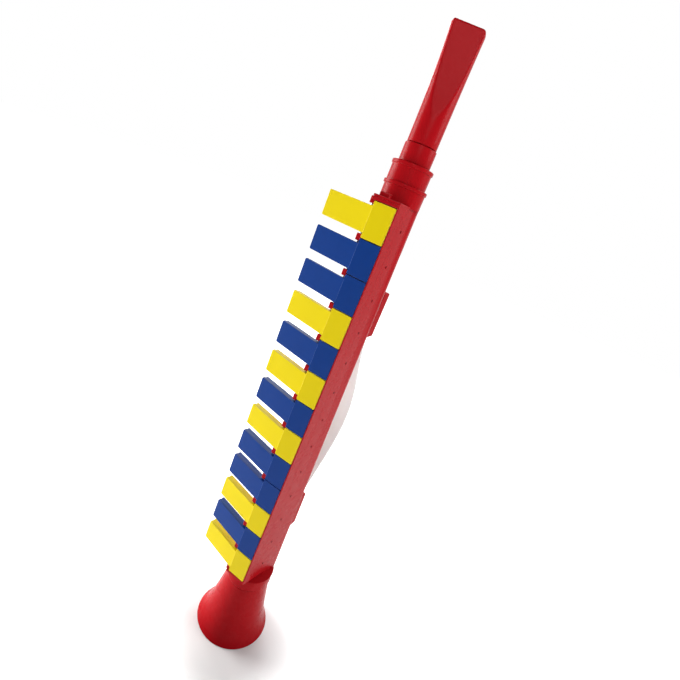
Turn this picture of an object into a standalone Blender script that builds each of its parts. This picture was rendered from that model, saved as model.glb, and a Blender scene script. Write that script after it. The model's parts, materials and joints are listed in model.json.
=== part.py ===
"""Toy piano horn: a blown free-reed toy with rocking keys, a tapered body, a bell and a hand strap.

Metres, +Z up. The horn stands on its bell rim. The keys face -Y, their tongues reach
towards -X and the strap is on +Y. The sizes below are taken from the bell's axis.
"""

import math

import bmesh
import bpy
from mathutils import Matrix, Vector

# Fits
SEAT_GAP = 0.0003
ROD_CLEARANCE = 0.00025
HUB_CLEARANCE = 0.0004
OVERLAP = 0.0005

# Keys, counted from the mouthpiece end
KEY_COUNT = 13
YELLOW_KEYS = (1, 4, 6, 8, 11, 13)
KEY_PITCH = 0.0212
KEY_GAP = 0.0005
KEYS_FOOT = 0.0597
PAD_FACE = 0.0214
PAD_LENGTH = 0.0136
PAD_THICK = 0.0030
BOSS_HEIGHT = 0.0012
BOSS_INSET = 0.0010
TONGUE_REACH = 0.0316
TONGUE_DROP = 0.0064
CREASE_STEP = 0.00025
TONGUE_WIDTH = 0.0152
TONGUE_THICK = 0.0022
TIP_BLOCK = 0.0020
SKIRT_DEPTH = 0.0060
SKIRT_THICK = 0.0012
SKIRT_INSET = 0.0007
SKIRT_LENGTH = 0.0215
SKIRT_SLANT = 0.0020
SEAL_THICK = 0.0014
SEAL_MARGIN = 0.0020
SEAL_CORNER = 0.0020

# Hinge and springs
HINGE_SETBACK = 0.00215
ROD_RADIUS = 0.00075
HUB_RADIUS = 0.0022
HUB_INSET = 0.0003
KNUCKLE_SPACE = 0.0052
POST_WIDTH = 0.0040
POST_WALL = 0.0005
POST_RISE = 0.0018
POST_ROOT = 0.0050
SPRING_WIRE = 0.0007
SPRING_CLEARANCE = 0.00035
SPRING_PITCH = 0.0012
SPRING_LOOPS = 2
SPRING_ARM = 0.0090
SPRING_TAIL = 0.0060
POINTS_PER_LOOP = 8

# Key box
BOX_SHIFT = -0.0011
BOX_WALL = 0.0018
BOX_BACK = 0.0017
STRIP_FRONT_INSET = 0.0011
STRIP_LEAN = 0.00266
PAD_SIDE_GAP = 0.0003
DECK_THICK = 0.0020
HOLE_LENGTH = 0.0050
HOLE_WIDTH = 0.0100
END_GAP = 0.0004
END_WALL = 0.0015
GASKET_THICK = 0.0010
REED_PLATE_THICK = 0.0008
REED_WIDTH = 0.0026
REED_SLIT = 0.0005
LOW_REED = 0.0150
HIGH_REED = 0.0105

# Tapered back
BACK_WALL = 0.0020
BACK_TOP_HALF = 0.0101
BACK_FOOT_HALF = 0.0112
BACK_TOP_DEPTH = 0.0106
BACK_FOOT_DEPTH = 0.0156
FLAT_TOP = (0.0090, -0.0004)
FLAT_FOOT = (0.0137, 0.0100)
BULGE_TOP = (0.0109, 0.0040)
BULGE_FOOT = (0.0141, 0.0123)
BACK_STATIONS = 9
BACK_HALF_POINTS = 9
FOOT_FLANGE = 0.0020
SPIGOT_LENGTH = 0.0130
SPIGOT_WALL = 0.0020

# Bell
RIM_RADIUS = 0.0279
NECK_RADIUS = 0.0164
NECK_RING_RADIUS = 0.0172
NECK_RING_HEIGHT = 0.0082
NECK_WALL = 0.0014
BELL_WALL = 0.0020
FLARE_HEIGHT = 0.0460
CONE_GROWTH = 0.0073
LIP_POWER = 7
FLARE_STATIONS = 9
FLARE_SPACING = 1.6

# Socket, ferrule and mouthpiece, on the blowing axis
TUBE_SHIFT = -0.0031
CAP_THICK = 0.0012
CAP_TAB_WIDTH = 0.0064
CAP_TAB_THICK = 0.0030
CAP_TAB_HEIGHT = 0.0025
CAP_TAB_SHIFT = -0.0042
CAP_TAB_INSET = 0.0036
TUBE_ROOT_SHIFT = 0.0005
TUBE_RADIUS = 0.0123
TUBE_HEIGHT = 0.0081
LOW_FLANGE_SHIFT = 0.0004
LOW_FLANGE_RADIUS = 0.0130
SLEEVE_RADIUS = 0.0117
SLEEVE_HEIGHT = 0.0090
FLANGE_RADIUS = 0.0123
FLANGE_THICK = 0.0021
FERRULE_RADIUS = 0.0093
FERRULE_HEIGHT = 0.0100
FERRULE_STEP = 0.0019
FERRULE_WALL = 0.0016
FERRULE_TENON = 0.0110
MOUTH_RADIUS = 0.0087
MOUTH_WALL = 0.0018
MOUTH_LENGTH = 0.0602
MOUTH_TENON = 0.0120
MOUTH_ROUND = 0.0170
MOUTH_TURN = 21
LIP_HALF_WIDTH = 0.0098
LIP_HALF_THICK = 0.0039
LIP_WALL = 0.0020
LIP_END_WALL = 0.0032
LIP_SQUARENESS = 3.0
LIP_TAPER = 1.2
MOUTH_STATIONS = 7

# Hand strap and its lugs
STRAP_WIDTH = 0.0150
STRAP_THICK = 0.0018
STRAP_BOW = 0.0305
STRAP_SKEW = 1.2
STRAP_SHAPE = 1.15
STRAP_STATIONS = 24
STRAP_TAIL = 0.0100
LUG_HALF_WIDTH = 0.0090
LUG_LENGTH = 0.0310
LUG_OUTER_WALL = 0.0044
STRAP_FOOT = 0.1170
STRAP_SPAN = 0.1385
UPPER_LUG_RISE = 0.0088
LOWER_LUG_RISE = 0.0126
LOWER_LUG_TILT = 0.0020

# Facets
TURN_STEPS = 32
ROD_STEPS = 12
BORE_STEPS = 16

# Colours, linear
RED = (0.42, 0.010, 0.016)
YELLOW = (0.86, 0.68, 0.010)
BLUE = (0.010, 0.045, 0.24)
IVORY = (0.82, 0.80, 0.77)
FELT = (0.60, 0.58, 0.54)
STEEL = (0.60, 0.60, 0.62)
BRASS = (0.72, 0.52, 0.20)
GASKET = (0.04, 0.04, 0.045)

# Places along X, Y and Z that follow from the sizes
PAD_LEFT = BOX_SHIFT - PAD_LENGTH / 2
PAD_RIGHT = BOX_SHIFT + PAD_LENGTH / 2
BOX_HALF = PAD_LENGTH / 2 + PAD_SIDE_GAP + BOX_WALL
DECK_FACE = PAD_FACE - PAD_THICK - BOSS_HEIGHT - SEAL_THICK - 2 * SEAT_GAP
HINGE_X = PAD_LEFT - HINGE_SETBACK
HINGE_Y = -(DECK_FACE + HUB_CLEARANCE + HUB_RADIUS)
KEYS_TOP = KEYS_FOOT + KEY_COUNT * KEY_PITCH
BOX_FOOT = KEYS_FOOT - END_GAP - END_WALL
BOX_TOP = KEYS_TOP + END_GAP + END_WALL
BORE_RADIUS = ROD_RADIUS + ROD_CLEARANCE
POST_HALF = BORE_RADIUS + POST_WALL
FLANGE_TOP = BOX_FOOT - SEAT_GAP
FLANGE_FOOT = FLANGE_TOP - FOOT_FLANGE
SPIGOT_RADIUS = NECK_RADIUS - NECK_WALL - SEAT_GAP
BELL_TOP = FLANGE_FOOT - SEAT_GAP
CAP_FOOT = BOX_TOP + SEAT_GAP
CAP_TOP = CAP_FOOT + CAP_THICK
FERRULE_FOOT = CAP_TOP + TUBE_HEIGHT + 2 * FLANGE_THICK + SLEEVE_HEIGHT + SEAT_GAP
FERRULE_TOP = FERRULE_FOOT + FERRULE_HEIGHT
MOUTH_FOOT = FERRULE_TOP + SEAT_GAP
MOUTH_TOP = MOUTH_FOOT + MOUTH_LENGTH
FERRULE_TENON_RADIUS = FERRULE_RADIUS - FERRULE_STEP
SOCKET_BORE = FERRULE_TENON_RADIUS + SEAT_GAP
FERRULE_BORE = FERRULE_TENON_RADIUS - FERRULE_WALL
MOUTH_TENON_RADIUS = FERRULE_BORE - SEAT_GAP
AIRWAY_RADIUS = MOUTH_TENON_RADIUS - MOUTH_WALL
LOWER_LUG_FOOT = STRAP_FOOT - LUG_LENGTH
UPPER_LUG_FOOT = STRAP_FOOT + STRAP_SPAN

part_collection = bpy.data.collections.new("toy_piano_horn")
cutter_collection = bpy.data.collections.new("toy_piano_horn_cutters")


def clear_scene():
    for obj in list(bpy.data.objects):
        bpy.data.objects.remove(obj)
    bpy.context.scene.collection.children.link(part_collection)
    bpy.context.scene.collection.children.link(cutter_collection)


def plastic(name, colour, roughness, metallic=0.0):
    material = bpy.data.materials.new(name)
    material.use_nodes = True
    shader = material.node_tree.nodes["Principled BSDF"]
    shader.inputs["Base Color"].default_value = (*colour, 1)
    shader.inputs["Roughness"].default_value = roughness
    shader.inputs["Metallic"].default_value = metallic
    return material


def add_part(name, data, material, parent, location=(0, 0, 0)):
    obj = bpy.data.objects.new(name, data)
    part_collection.objects.link(obj)
    obj.parent = parent
    obj.location = location
    if not data.materials:
        data.materials.append(None)
    obj.material_slots[0].link = "OBJECT"
    obj.material_slots[0].material = material
    return obj


def add_helper(name, data, parent=None):
    obj = bpy.data.objects.new(name, data)
    cutter_collection.objects.link(obj)
    obj.parent = parent
    obj.hide_render = True
    obj.display_type = "WIRE"
    return obj


def boolean(target, operation, other):
    modifier = target.modifiers.new(other.name, "BOOLEAN")
    modifier.operation = operation
    modifier.object = other
    return modifier


def finished_mesh(name, build):
    """A mesh from what build puts into a bmesh, with its faces turned out."""
    bm = bmesh.new()
    build(bm)
    bmesh.ops.recalc_face_normals(bm, faces=bm.faces)
    mesh = bpy.data.meshes.new(name)
    bm.to_mesh(mesh)
    bm.free()
    return mesh


def put_box(bm, low, high):
    size = [b - a for a, b in zip(low, high)]
    middle = [(a + b) / 2 for a, b in zip(low, high)]
    bmesh.ops.create_cube(bm, size=1, matrix=Matrix.Translation(middle) @ Matrix.Diagonal((*size, 1)))


def put_cylinder(bm, radius, low_z, high_z, steps, centre=(0, 0)):
    place = Matrix.Translation((*centre, (low_z + high_z) / 2))
    bmesh.ops.create_cone(
        bm, cap_ends=True, segments=steps, radius1=radius, radius2=radius, depth=high_z - low_z, matrix=place
    )


def put_prism(bm, outline, low, high, along):
    """An outline pushed from low to high along X (outline in Y, Z), Y (in X, Z) or Z (in X, Y)."""
    axis = "XYZ".index(along)
    points = [list(point) for point in outline]
    for point in points:
        point.insert(axis, low)
    face = bm.faces.new([bm.verts.new(point) for point in points])
    pushed = bmesh.ops.extrude_face_region(bm, geom=[face])
    move = Vector((0, 0, 0))
    move[axis] = high - low
    bmesh.ops.translate(bm, vec=move, verts=[v for v in pushed["geom"] if isinstance(v, bmesh.types.BMVert)])


def put_loft(bm, rings):
    """A closed skin over rings of points, each joined to the next and the last to the first."""
    loops = [[bm.verts.new(point) for point in ring] for ring in rings]
    for ring, following in zip(loops, loops[1:] + loops[:1]):
        for i, vert in enumerate(ring):
            after = (i + 1) % len(ring)
            bm.faces.new((vert, ring[after], following[after], following[i]))


def turned(name, profile, closed=True):
    """The outline of a turned piece in (radius, height), top to bottom outside and back up inside."""

    def outline(bm):
        verts = [bm.verts.new((radius, 0, height)) for radius, height in profile]
        for vert, following in zip(verts, verts[1:] + verts[: 1 if closed else 0]):
            bm.edges.new((vert, following))

    return finished_mesh(name, outline)


def add_screw(obj, steps=TURN_STEPS):
    screw = obj.modifiers.new("turn", "SCREW")
    screw.steps = steps
    screw.render_steps = steps
    screw.use_merge_vertices = True
    screw.merge_threshold = 0.00001
    return screw


def rounded_outline(middle, half_u, half_v, corner, steps=3):
    """A rectangle with round corners, in two coordinates."""
    points = []
    for quarter in range(4):
        sign_u = 1 if quarter in (0, 3) else -1
        sign_v = 1 if quarter in (0, 1) else -1
        for step in range(steps + 1):
            angle = math.pi / 2 * (quarter + step / steps)
            u = sign_u * (half_u - corner) + corner * math.cos(angle)
            v = sign_v * (half_v - corner) + corner * math.sin(angle)
            points.append((middle[0] + u, middle[1] + v))
    return points


def key_middle(number):
    return KEYS_TOP - (number - 0.5) * KEY_PITCH


def strip_lean(z):
    """How far the strip wall's back edge stands out at a height."""
    return STRIP_LEAN * min(1.0, (BOX_TOP - z) / (BOX_TOP - BOX_FOOT))


def box_outline(z):
    """The key box's section: strip wall on the right, deck, and the low hinge wall on the left."""
    right = BOX_SHIFT + BOX_HALF
    left = BOX_SHIFT - BOX_HALF
    under_deck = -(DECK_FACE - DECK_THICK)
    return [
        (right - STRIP_FRONT_INSET, -PAD_FACE),
        (right + strip_lean(z), -BOX_BACK),
        (right + strip_lean(z) - BOX_WALL, -BOX_BACK),
        (right - BOX_WALL, under_deck),
        (left + BOX_WALL, under_deck),
        (left + BOX_WALL, -BOX_BACK),
        (left, -BOX_BACK),
        (left, -DECK_FACE),
        (right - BOX_WALL, -DECK_FACE),
        (right - BOX_WALL, -PAD_FACE),
    ]


def make_key_box(root, material):
    right = BOX_SHIFT + BOX_HALF
    left = BOX_SHIFT - BOX_HALF

    def section(bm):
        put_prism(bm, box_outline(BOX_FOOT), BOX_FOOT, BOX_TOP, "Z")
        for vert in bm.verts:
            at_strip_back = vert.co.x > right - BOX_WALL + OVERLAP and vert.co.y > -PAD_FACE / 2
            if at_strip_back and vert.co.z > BOX_FOOT + END_WALL:
                vert.co.x -= STRIP_LEAN

    def ends(bm):
        for low, high in ((BOX_FOOT, BOX_FOOT + END_WALL), (BOX_TOP - END_WALL, BOX_TOP)):
            middle = right + strip_lean(low) - BOX_WALL / 2
            outline = [
                (left, -PAD_FACE),
                (right - (BOX_WALL + STRIP_FRONT_INSET) / 2, -PAD_FACE),
                (middle, -BOX_BACK),
                (left, -BOX_BACK),
            ]
            put_prism(bm, outline, low, high, "Z")

    def posts(bm):
        for boundary in range(KEY_COUNT + 1):
            middle = KEYS_TOP - boundary * KEY_PITCH
            low = (HINGE_X - POST_HALF, HINGE_Y - POST_RISE, middle - POST_WIDTH / 2)
            high = (HINGE_X + POST_HALF, -DECK_FACE + POST_ROOT, middle + POST_WIDTH / 2)
            put_box(bm, low, high)

    def holes(bm):
        for number in range(1, KEY_COUNT + 1):
            z = key_middle(number)
            low = (BOX_SHIFT - HOLE_LENGTH / 2, -DECK_FACE - DECK_THICK, z - HOLE_WIDTH / 2)
            high = (BOX_SHIFT + HOLE_LENGTH / 2, -DECK_FACE + 2 * DECK_THICK, z + HOLE_WIDTH / 2)
            put_box(bm, low, high)

    def bore(bm):
        low = KEYS_FOOT - POST_WIDTH
        high = KEYS_TOP + POST_WIDTH
        put_cylinder(bm, BORE_RADIUS, low, high, BORE_STEPS, (HINGE_X, HINGE_Y))

    channel = add_part("key_channel", finished_mesh("key_channel", section), material, root)
    channel.modifiers.new("facets", "TRIANGULATE")
    boolean(channel, "UNION", add_helper("channel_ends", finished_mesh("channel_ends", ends), root))
    boolean(channel, "UNION", add_helper("hinge_posts", finished_mesh("hinge_posts", posts), root))
    boolean(channel, "DIFFERENCE", add_helper("tone_holes", finished_mesh("tone_holes", holes), root))
    boolean(channel, "DIFFERENCE", add_helper("rod_bore", finished_mesh("rod_bore", bore), root))


def make_hinge_rod(root, material):
    reach = POST_WIDTH / 2

    def rod(bm):
        put_cylinder(bm, ROD_RADIUS, KEYS_FOOT - reach, KEYS_TOP + reach, ROD_STEPS)

    add_part("hinge_rod", finished_mesh("hinge_rod", rod), material, root, (HINGE_X, HINGE_Y, 0))


def tongue_line(x, depth):
    """The tongue's sloping face, pushed back by depth, at x from the hinge axis."""
    slope = TONGUE_DROP / TONGUE_REACH
    return -(PAD_FACE + HINGE_Y) + CREASE_STEP + slope * (HINGE_SETBACK - x) + depth


def key_shape():
    """One key about its hinge axis, frozen to a mesh that all keys share."""
    crease = HINGE_SETBACK
    tip = crease - TONGUE_REACH
    pad_face = -(PAD_FACE + HINGE_Y)
    pad_back = pad_face + PAD_THICK
    half_tongue = TONGUE_WIDTH / 2
    half_pad = (KEY_PITCH - KEY_GAP) / 2

    def pad(bm):
        put_box(bm, (crease, pad_face, -half_pad), (crease + PAD_LENGTH, pad_back, half_pad))

    def boss(bm):
        half_u = HOLE_LENGTH / 2 + SEAL_MARGIN - BOSS_INSET
        half_v = HOLE_WIDTH / 2 + SEAL_MARGIN - BOSS_INSET
        middle = crease + PAD_LENGTH / 2
        low = (middle - half_u, pad_back - OVERLAP, -half_v)
        put_box(bm, low, (middle + half_u, pad_back + BOSS_HEIGHT, half_v))

    def tongue(bm):
        inner = tip + TIP_BLOCK
        root = crease + OVERLAP
        outline = [
            (root, tongue_line(root, 0)),
            (tip, tongue_line(tip, 0)),
            (tip, tongue_line(tip, SKIRT_DEPTH)),
            (inner, tongue_line(inner, SKIRT_DEPTH)),
            (inner, tongue_line(inner, TONGUE_THICK)),
            (root, tongue_line(root, TONGUE_THICK)),
        ]
        put_prism(bm, outline, -half_tongue, half_tongue, "Z")

    def skirts(bm):
        start = tip + TIP_BLOCK - OVERLAP
        end = tip + SKIRT_LENGTH
        outline = [
            (start, tongue_line(start, TONGUE_THICK - OVERLAP)),
            (start, tongue_line(start, SKIRT_DEPTH - OVERLAP)),
            (end - SKIRT_SLANT, tongue_line(end - SKIRT_SLANT, SKIRT_DEPTH - OVERLAP)),
            (end, tongue_line(end, TONGUE_THICK - OVERLAP)),
        ]
        outer = half_tongue - SKIRT_INSET
        put_prism(bm, outline, -outer, -outer + SKIRT_THICK, "Z")
        put_prism(bm, outline, outer - SKIRT_THICK, outer, "Z")

    def knuckles(bm):
        outer = half_tongue - HUB_INSET
        put_cylinder(bm, HUB_RADIUS, KNUCKLE_SPACE / 2, outer, BORE_STEPS)
        put_cylinder(bm, HUB_RADIUS, -outer, -KNUCKLE_SPACE / 2, BORE_STEPS)

    def bore(bm):
        put_cylinder(bm, BORE_RADIUS, -half_pad, half_pad, BORE_STEPS)

    def pocket(bm):
        room = spring_radius() + SPRING_WIRE / 2 + SEAT_GAP
        put_cylinder(bm, room, -KNUCKLE_SPACE / 2 + OVERLAP, KNUCKLE_SPACE / 2 - OVERLAP, BORE_STEPS)

    master = add_helper("key_master", finished_mesh("key_master", pad))
    for name, build in (("boss", boss), ("tongue", tongue), ("skirts", skirts), ("knuckles", knuckles)):
        boolean(master, "UNION", add_helper("key_" + name, finished_mesh("key_" + name, build)))
    for name, build in (("bore", bore), ("pocket", pocket)):
        boolean(master, "DIFFERENCE", add_helper("key_" + name, finished_mesh("key_" + name, build)))
    bpy.context.view_layer.update()
    shape = master.evaluated_get(bpy.context.evaluated_depsgraph_get())
    return bpy.data.meshes.new_from_object(shape)


def seal_shape():
    """One soft pad about its key's hinge axis."""
    half_u = HOLE_LENGTH / 2 + SEAL_MARGIN
    half_v = HOLE_WIDTH / 2 + SEAL_MARGIN
    low = -(DECK_FACE + HINGE_Y) - SEAT_GAP - SEAL_THICK
    outline = rounded_outline((HINGE_SETBACK + PAD_LENGTH / 2, 0), half_u, half_v, SEAL_CORNER)

    def pad(bm):
        put_prism(bm, outline, low, low + SEAL_THICK, "Y")

    return finished_mesh("seal_pad", pad)


def spring_radius():
    return ROD_RADIUS + SPRING_CLEARANCE + SPRING_WIRE / 2


def spring_points():
    """The torsion spring's wire: tail down the box's side, loops round the rod, arm under the tongue."""
    radius = spring_radius()
    first = math.pi
    last = math.pi / 2 + 2 * math.pi * SPRING_LOOPS
    count = round((last - first) / (2 * math.pi) * POINTS_PER_LOOP)
    rise = SPRING_PITCH * (last - first) / (2 * math.pi)
    points = [Vector((-radius, SPRING_TAIL, -rise / 2))]
    for i in range(count + 1):
        angle = first + (last - first) * i / count
        points.append(Vector((radius * math.cos(angle), radius * math.sin(angle), rise * (i / count - 0.5))))
    under = tongue_line(-SPRING_ARM, TONGUE_THICK) + SEAT_GAP + SPRING_WIRE / 2
    points.append(Vector((-SPRING_ARM, max(under, radius), rise / 2)))
    return points


def least_gap(points, wire):
    """The least distance between stretches of a wire a half loop or more apart, less its diameter."""
    fine = []
    for start, end in zip(points, points[1:]):
        steps = max(1, math.ceil((end - start).length / wire))
        fine += [start.lerp(end, i / steps) for i in range(steps)]
    along = [0.0]
    for start, end in zip(fine, fine[1:]):
        along.append(along[-1] + (end - start).length)
    half_loop = math.pi * spring_radius()
    pairs = [
        (a - b).length
        for i, a in enumerate(fine)
        for j, b in enumerate(fine[:i])
        if along[i] - along[j] > half_loop
    ]
    return min(pairs) - wire


def spring_curve():
    points = spring_points()
    print(f"spring wire: least gap to itself {least_gap(points, SPRING_WIRE) * 1000:.2f} mm")
    curve = bpy.data.curves.new("key_spring", "CURVE")
    curve.dimensions = "3D"
    curve.bevel_depth = SPRING_WIRE / 2
    curve.bevel_resolution = 1
    curve.use_fill_caps = True
    spline = curve.splines.new("POLY")
    spline.points.add(len(points) - 1)
    for point, place in zip(spline.points, points):
        point.co = (*place, 1)
    return curve


def make_keys(root, yellow, blue, felt, steel):
    key_mesh = key_shape()
    seal_mesh = seal_shape()
    spring = spring_curve()
    for number in range(1, KEY_COUNT + 1):
        place = (HINGE_X, HINGE_Y, key_middle(number))
        colour = yellow if number in YELLOW_KEYS else blue
        key = add_part(f"key_{number:02d}", key_mesh, colour, root, place)
        add_part(f"seal_pad_{number:02d}", seal_mesh, felt, key)
        add_part(f"key_spring_{number:02d}", spring, steel, root, place)


def reed_slit(number):
    """The slit round three sides of one reed, in X and Z."""
    share = (number - 1) / (KEY_COUNT - 1)
    length = HIGH_REED + (LOW_REED - HIGH_REED) * share
    inner = REED_WIDTH / 2
    outer = inner + REED_SLIT
    root_end = key_middle(number) - length / 2
    free_end = key_middle(number) + length / 2
    return [
        (BOX_SHIFT - outer, root_end),
        (BOX_SHIFT - inner, root_end),
        (BOX_SHIFT - inner, free_end - REED_SLIT),
        (BOX_SHIFT + inner, free_end - REED_SLIT),
        (BOX_SHIFT + inner, root_end),
        (BOX_SHIFT + outer, root_end),
        (BOX_SHIFT + outer, free_end),
        (BOX_SHIFT - outer, free_end),
    ]


def make_reeds(root, gasket_material, brass):
    half = BOX_HALF - BOX_WALL - SEAT_GAP
    low_z = BOX_FOOT + END_WALL + SEAT_GAP
    high_z = BOX_TOP - END_WALL - SEAT_GAP
    gasket_face = -(DECK_FACE - DECK_THICK) + SEAT_GAP
    plate_face = gasket_face + GASKET_THICK + SEAT_GAP
    plate_back = plate_face + REED_PLATE_THICK

    def gasket(bm):
        gasket_back = gasket_face + GASKET_THICK
        put_box(bm, (BOX_SHIFT - half, gasket_face, low_z), (BOX_SHIFT + half, gasket_back, high_z))

    def windows(bm):
        for number in range(1, KEY_COUNT + 1):
            low = (BOX_SHIFT - HOLE_LENGTH / 2, gasket_face - OVERLAP, key_middle(number) - HOLE_WIDTH / 2)
            high = (BOX_SHIFT + HOLE_LENGTH / 2, plate_face, key_middle(number) + HOLE_WIDTH / 2)
            put_box(bm, low, high)

    def plate(bm):
        put_box(bm, (BOX_SHIFT - half, plate_face, low_z), (BOX_SHIFT + half, plate_back, high_z))

    def slits(bm):
        for number in range(1, KEY_COUNT + 1):
            put_prism(bm, reed_slit(number), plate_face - OVERLAP, plate_back + OVERLAP, "Y")

    sheet = add_part("reed_gasket", finished_mesh("reed_gasket", gasket), gasket_material, root)
    boolean(sheet, "DIFFERENCE", add_helper("gasket_windows", finished_mesh("gasket_windows", windows), root))
    reeds = add_part("reed_plate", finished_mesh("reed_plate", plate), brass, root)
    boolean(reeds, "DIFFERENCE", add_helper("reed_slits", finished_mesh("reed_slits", slits), root))


def back_share(z):
    """How far down the taper a height lies, from 0 at the top to 1 at the foot."""
    return (BOX_TOP - z) / (BOX_TOP - FLANGE_FOOT)


def back_depth(z):
    return BACK_TOP_DEPTH + (BACK_FOOT_DEPTH - BACK_TOP_DEPTH) * back_share(z)


def back_section(z):
    """The tapered back's outer line at a height: flat flanks behind the key box, then a round back."""
    share = back_share(z)
    edge = -BOX_BACK + SEAT_GAP
    start = Vector(FLAT_TOP).lerp(Vector(FLAT_FOOT), share)
    bulge = Vector(BULGE_TOP).lerp(Vector(BULGE_FOOT), share)
    corner = Vector((BACK_TOP_HALF, BACK_TOP_DEPTH)).lerp(Vector((BACK_FOOT_HALF, BACK_FOOT_DEPTH)), share)
    end = Vector((0, back_depth(z)))
    bend = []
    for i in range(BACK_HALF_POINTS):
        t = i / (BACK_HALF_POINTS - 1)
        s = 1 - t
        bend.append(s**3 * start + 3 * s * s * t * bulge + 3 * s * t * t * corner + t**3 * end)
    right = [Vector((BOX_HALF + strip_lean(z), edge))] + bend
    left = [Vector((-point.x, point.y)) for point in reversed(bend[:-1])] + [Vector((-BOX_HALF, edge))]
    return [(BOX_SHIFT + point.x, point.y, z) for point in right + left]


def make_back(root, material):
    foot = FLANGE_FOOT + OVERLAP

    def skin(bm):
        rows = []
        for i in range(BACK_STATIONS):
            z = BOX_TOP + (foot - BOX_TOP) * i / (BACK_STATIONS - 1)
            rows.append([bm.verts.new(point) for point in back_section(z)])
        for row, following in zip(rows, rows[1:]):
            for i in range(len(row) - 1):
                bm.faces.new((row[i], following[i], following[i + 1], row[i + 1]))

    spigot_foot = FLANGE_FOOT - SPIGOT_LENGTH
    spigot_bore = SPIGOT_RADIUS - SPIGOT_WALL
    profile = [
        (0, FLANGE_TOP),
        (NECK_RING_RADIUS, FLANGE_TOP),
        (NECK_RING_RADIUS, FLANGE_FOOT),
        (SPIGOT_RADIUS, FLANGE_FOOT),
        (SPIGOT_RADIUS, spigot_foot),
        (spigot_bore, spigot_foot),
        (spigot_bore, FLANGE_FOOT),
        (0, FLANGE_FOOT),
    ]
    shell = add_part("back_shell", finished_mesh("back_shell", skin), material, root)
    wall = shell.modifiers.new("wall", "SOLIDIFY")
    wall.thickness = BACK_WALL
    wall.offset = -1
    wall.use_even_offset = True
    shell.modifiers.new("facets", "TRIANGULATE")
    foot_plug = add_helper("foot_plug", turned("foot_plug", profile, False), root)
    add_screw(foot_plug)
    boolean(shell, "UNION", foot_plug)


def bell_radius(z):
    """The bell's outside: a straight cone from the neck that curls out into the lip."""
    share = 1 - z / FLARE_HEIGHT
    return NECK_RADIUS + CONE_GROWTH * share + (RIM_RADIUS - NECK_RADIUS - CONE_GROWTH) * share**LIP_POWER


def make_bell(root, material):
    ring_foot = BELL_TOP - NECK_RING_HEIGHT
    seat = FLANGE_FOOT - SPIGOT_LENGTH - SEAT_GAP
    bore = SPIGOT_RADIUS + SEAT_GAP
    heights = [FLARE_HEIGHT * (1 - i / FLARE_STATIONS) ** FLARE_SPACING for i in range(FLARE_STATIONS + 1)]
    outside = [(NECK_RING_RADIUS, BELL_TOP), (NECK_RING_RADIUS, ring_foot), (NECK_RADIUS, ring_foot)]
    outside += [(bell_radius(z), z) for z in heights]
    inside = [(bell_radius(z) - BELL_WALL, z) for z in reversed(heights) if z < seat]
    inside += [(NECK_RADIUS - BELL_WALL, seat), (bore, seat), (bore, BELL_TOP)]
    bell = add_part("bell", turned("bell", outside + inside), material, root)
    add_screw(bell)


def make_socket(root, material):
    sleeve_foot = CAP_TOP + TUBE_HEIGHT + FLANGE_THICK
    sleeve_top = sleeve_foot + SLEEVE_HEIGHT
    tube_foot = CAP_FOOT + CAP_THICK / 2
    profile = [
        (0, sleeve_top + FLANGE_THICK),
        (FLANGE_RADIUS, sleeve_top + FLANGE_THICK),
        (FLANGE_RADIUS, sleeve_top),
        (SLEEVE_RADIUS, sleeve_top),
        (SLEEVE_RADIUS, sleeve_foot - FLANGE_THICK / 2),
        (0, sleeve_foot - FLANGE_THICK / 2),
    ]
    front = [
        (BOX_SHIFT - BOX_HALF, -PAD_FACE),
        (BOX_SHIFT + BOX_HALF - STRIP_FRONT_INSET, -PAD_FACE),
    ]
    tab_x = BOX_SHIFT + CAP_TAB_SHIFT
    tab_y = -PAD_FACE + CAP_TAB_INSET

    def cap(bm):
        outline = front + [point[:2] for point in back_section(BOX_TOP)]
        put_prism(bm, outline, CAP_FOOT, CAP_TOP, "Z")

    def low_flange(bm):
        centre = (TUBE_SHIFT + LOW_FLANGE_SHIFT, 0)
        put_cylinder(bm, LOW_FLANGE_RADIUS, sleeve_foot - FLANGE_THICK, sleeve_foot, TURN_STEPS, centre)

    def tube_root(bm):
        centre = (TUBE_SHIFT + TUBE_ROOT_SHIFT, 0)
        put_cylinder(bm, TUBE_RADIUS, tube_foot, sleeve_foot - 0.6 * FLANGE_THICK, TURN_STEPS, centre)

    def tab(bm):
        low = (tab_x - CAP_TAB_WIDTH / 2, tab_y, tube_foot)
        high = (tab_x + CAP_TAB_WIDTH / 2, tab_y + CAP_TAB_THICK, CAP_TOP + CAP_TAB_HEIGHT)
        put_box(bm, low, high)

    def bore(bm):
        low = CAP_FOOT - OVERLAP
        put_cylinder(bm, SOCKET_BORE, low, FERRULE_FOOT + OVERLAP, TURN_STEPS, (TUBE_SHIFT, 0))

    tube = add_helper("socket_tube", turned("socket_tube", profile, False), root)
    tube.location = (TUBE_SHIFT, 0, 0)
    add_screw(tube)
    socket = add_part("mouth_socket", finished_mesh("mouth_socket", cap), material, root)
    boolean(socket, "UNION", add_helper("tube_root", finished_mesh("tube_root", tube_root), root))
    boolean(socket, "UNION", add_helper("low_flange", finished_mesh("low_flange", low_flange), root))
    boolean(socket, "UNION", tube)
    boolean(socket, "UNION", add_helper("cap_tab", finished_mesh("cap_tab", tab), root))
    boolean(socket, "DIFFERENCE", add_helper("socket_bore", finished_mesh("socket_bore", bore), root))


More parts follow.
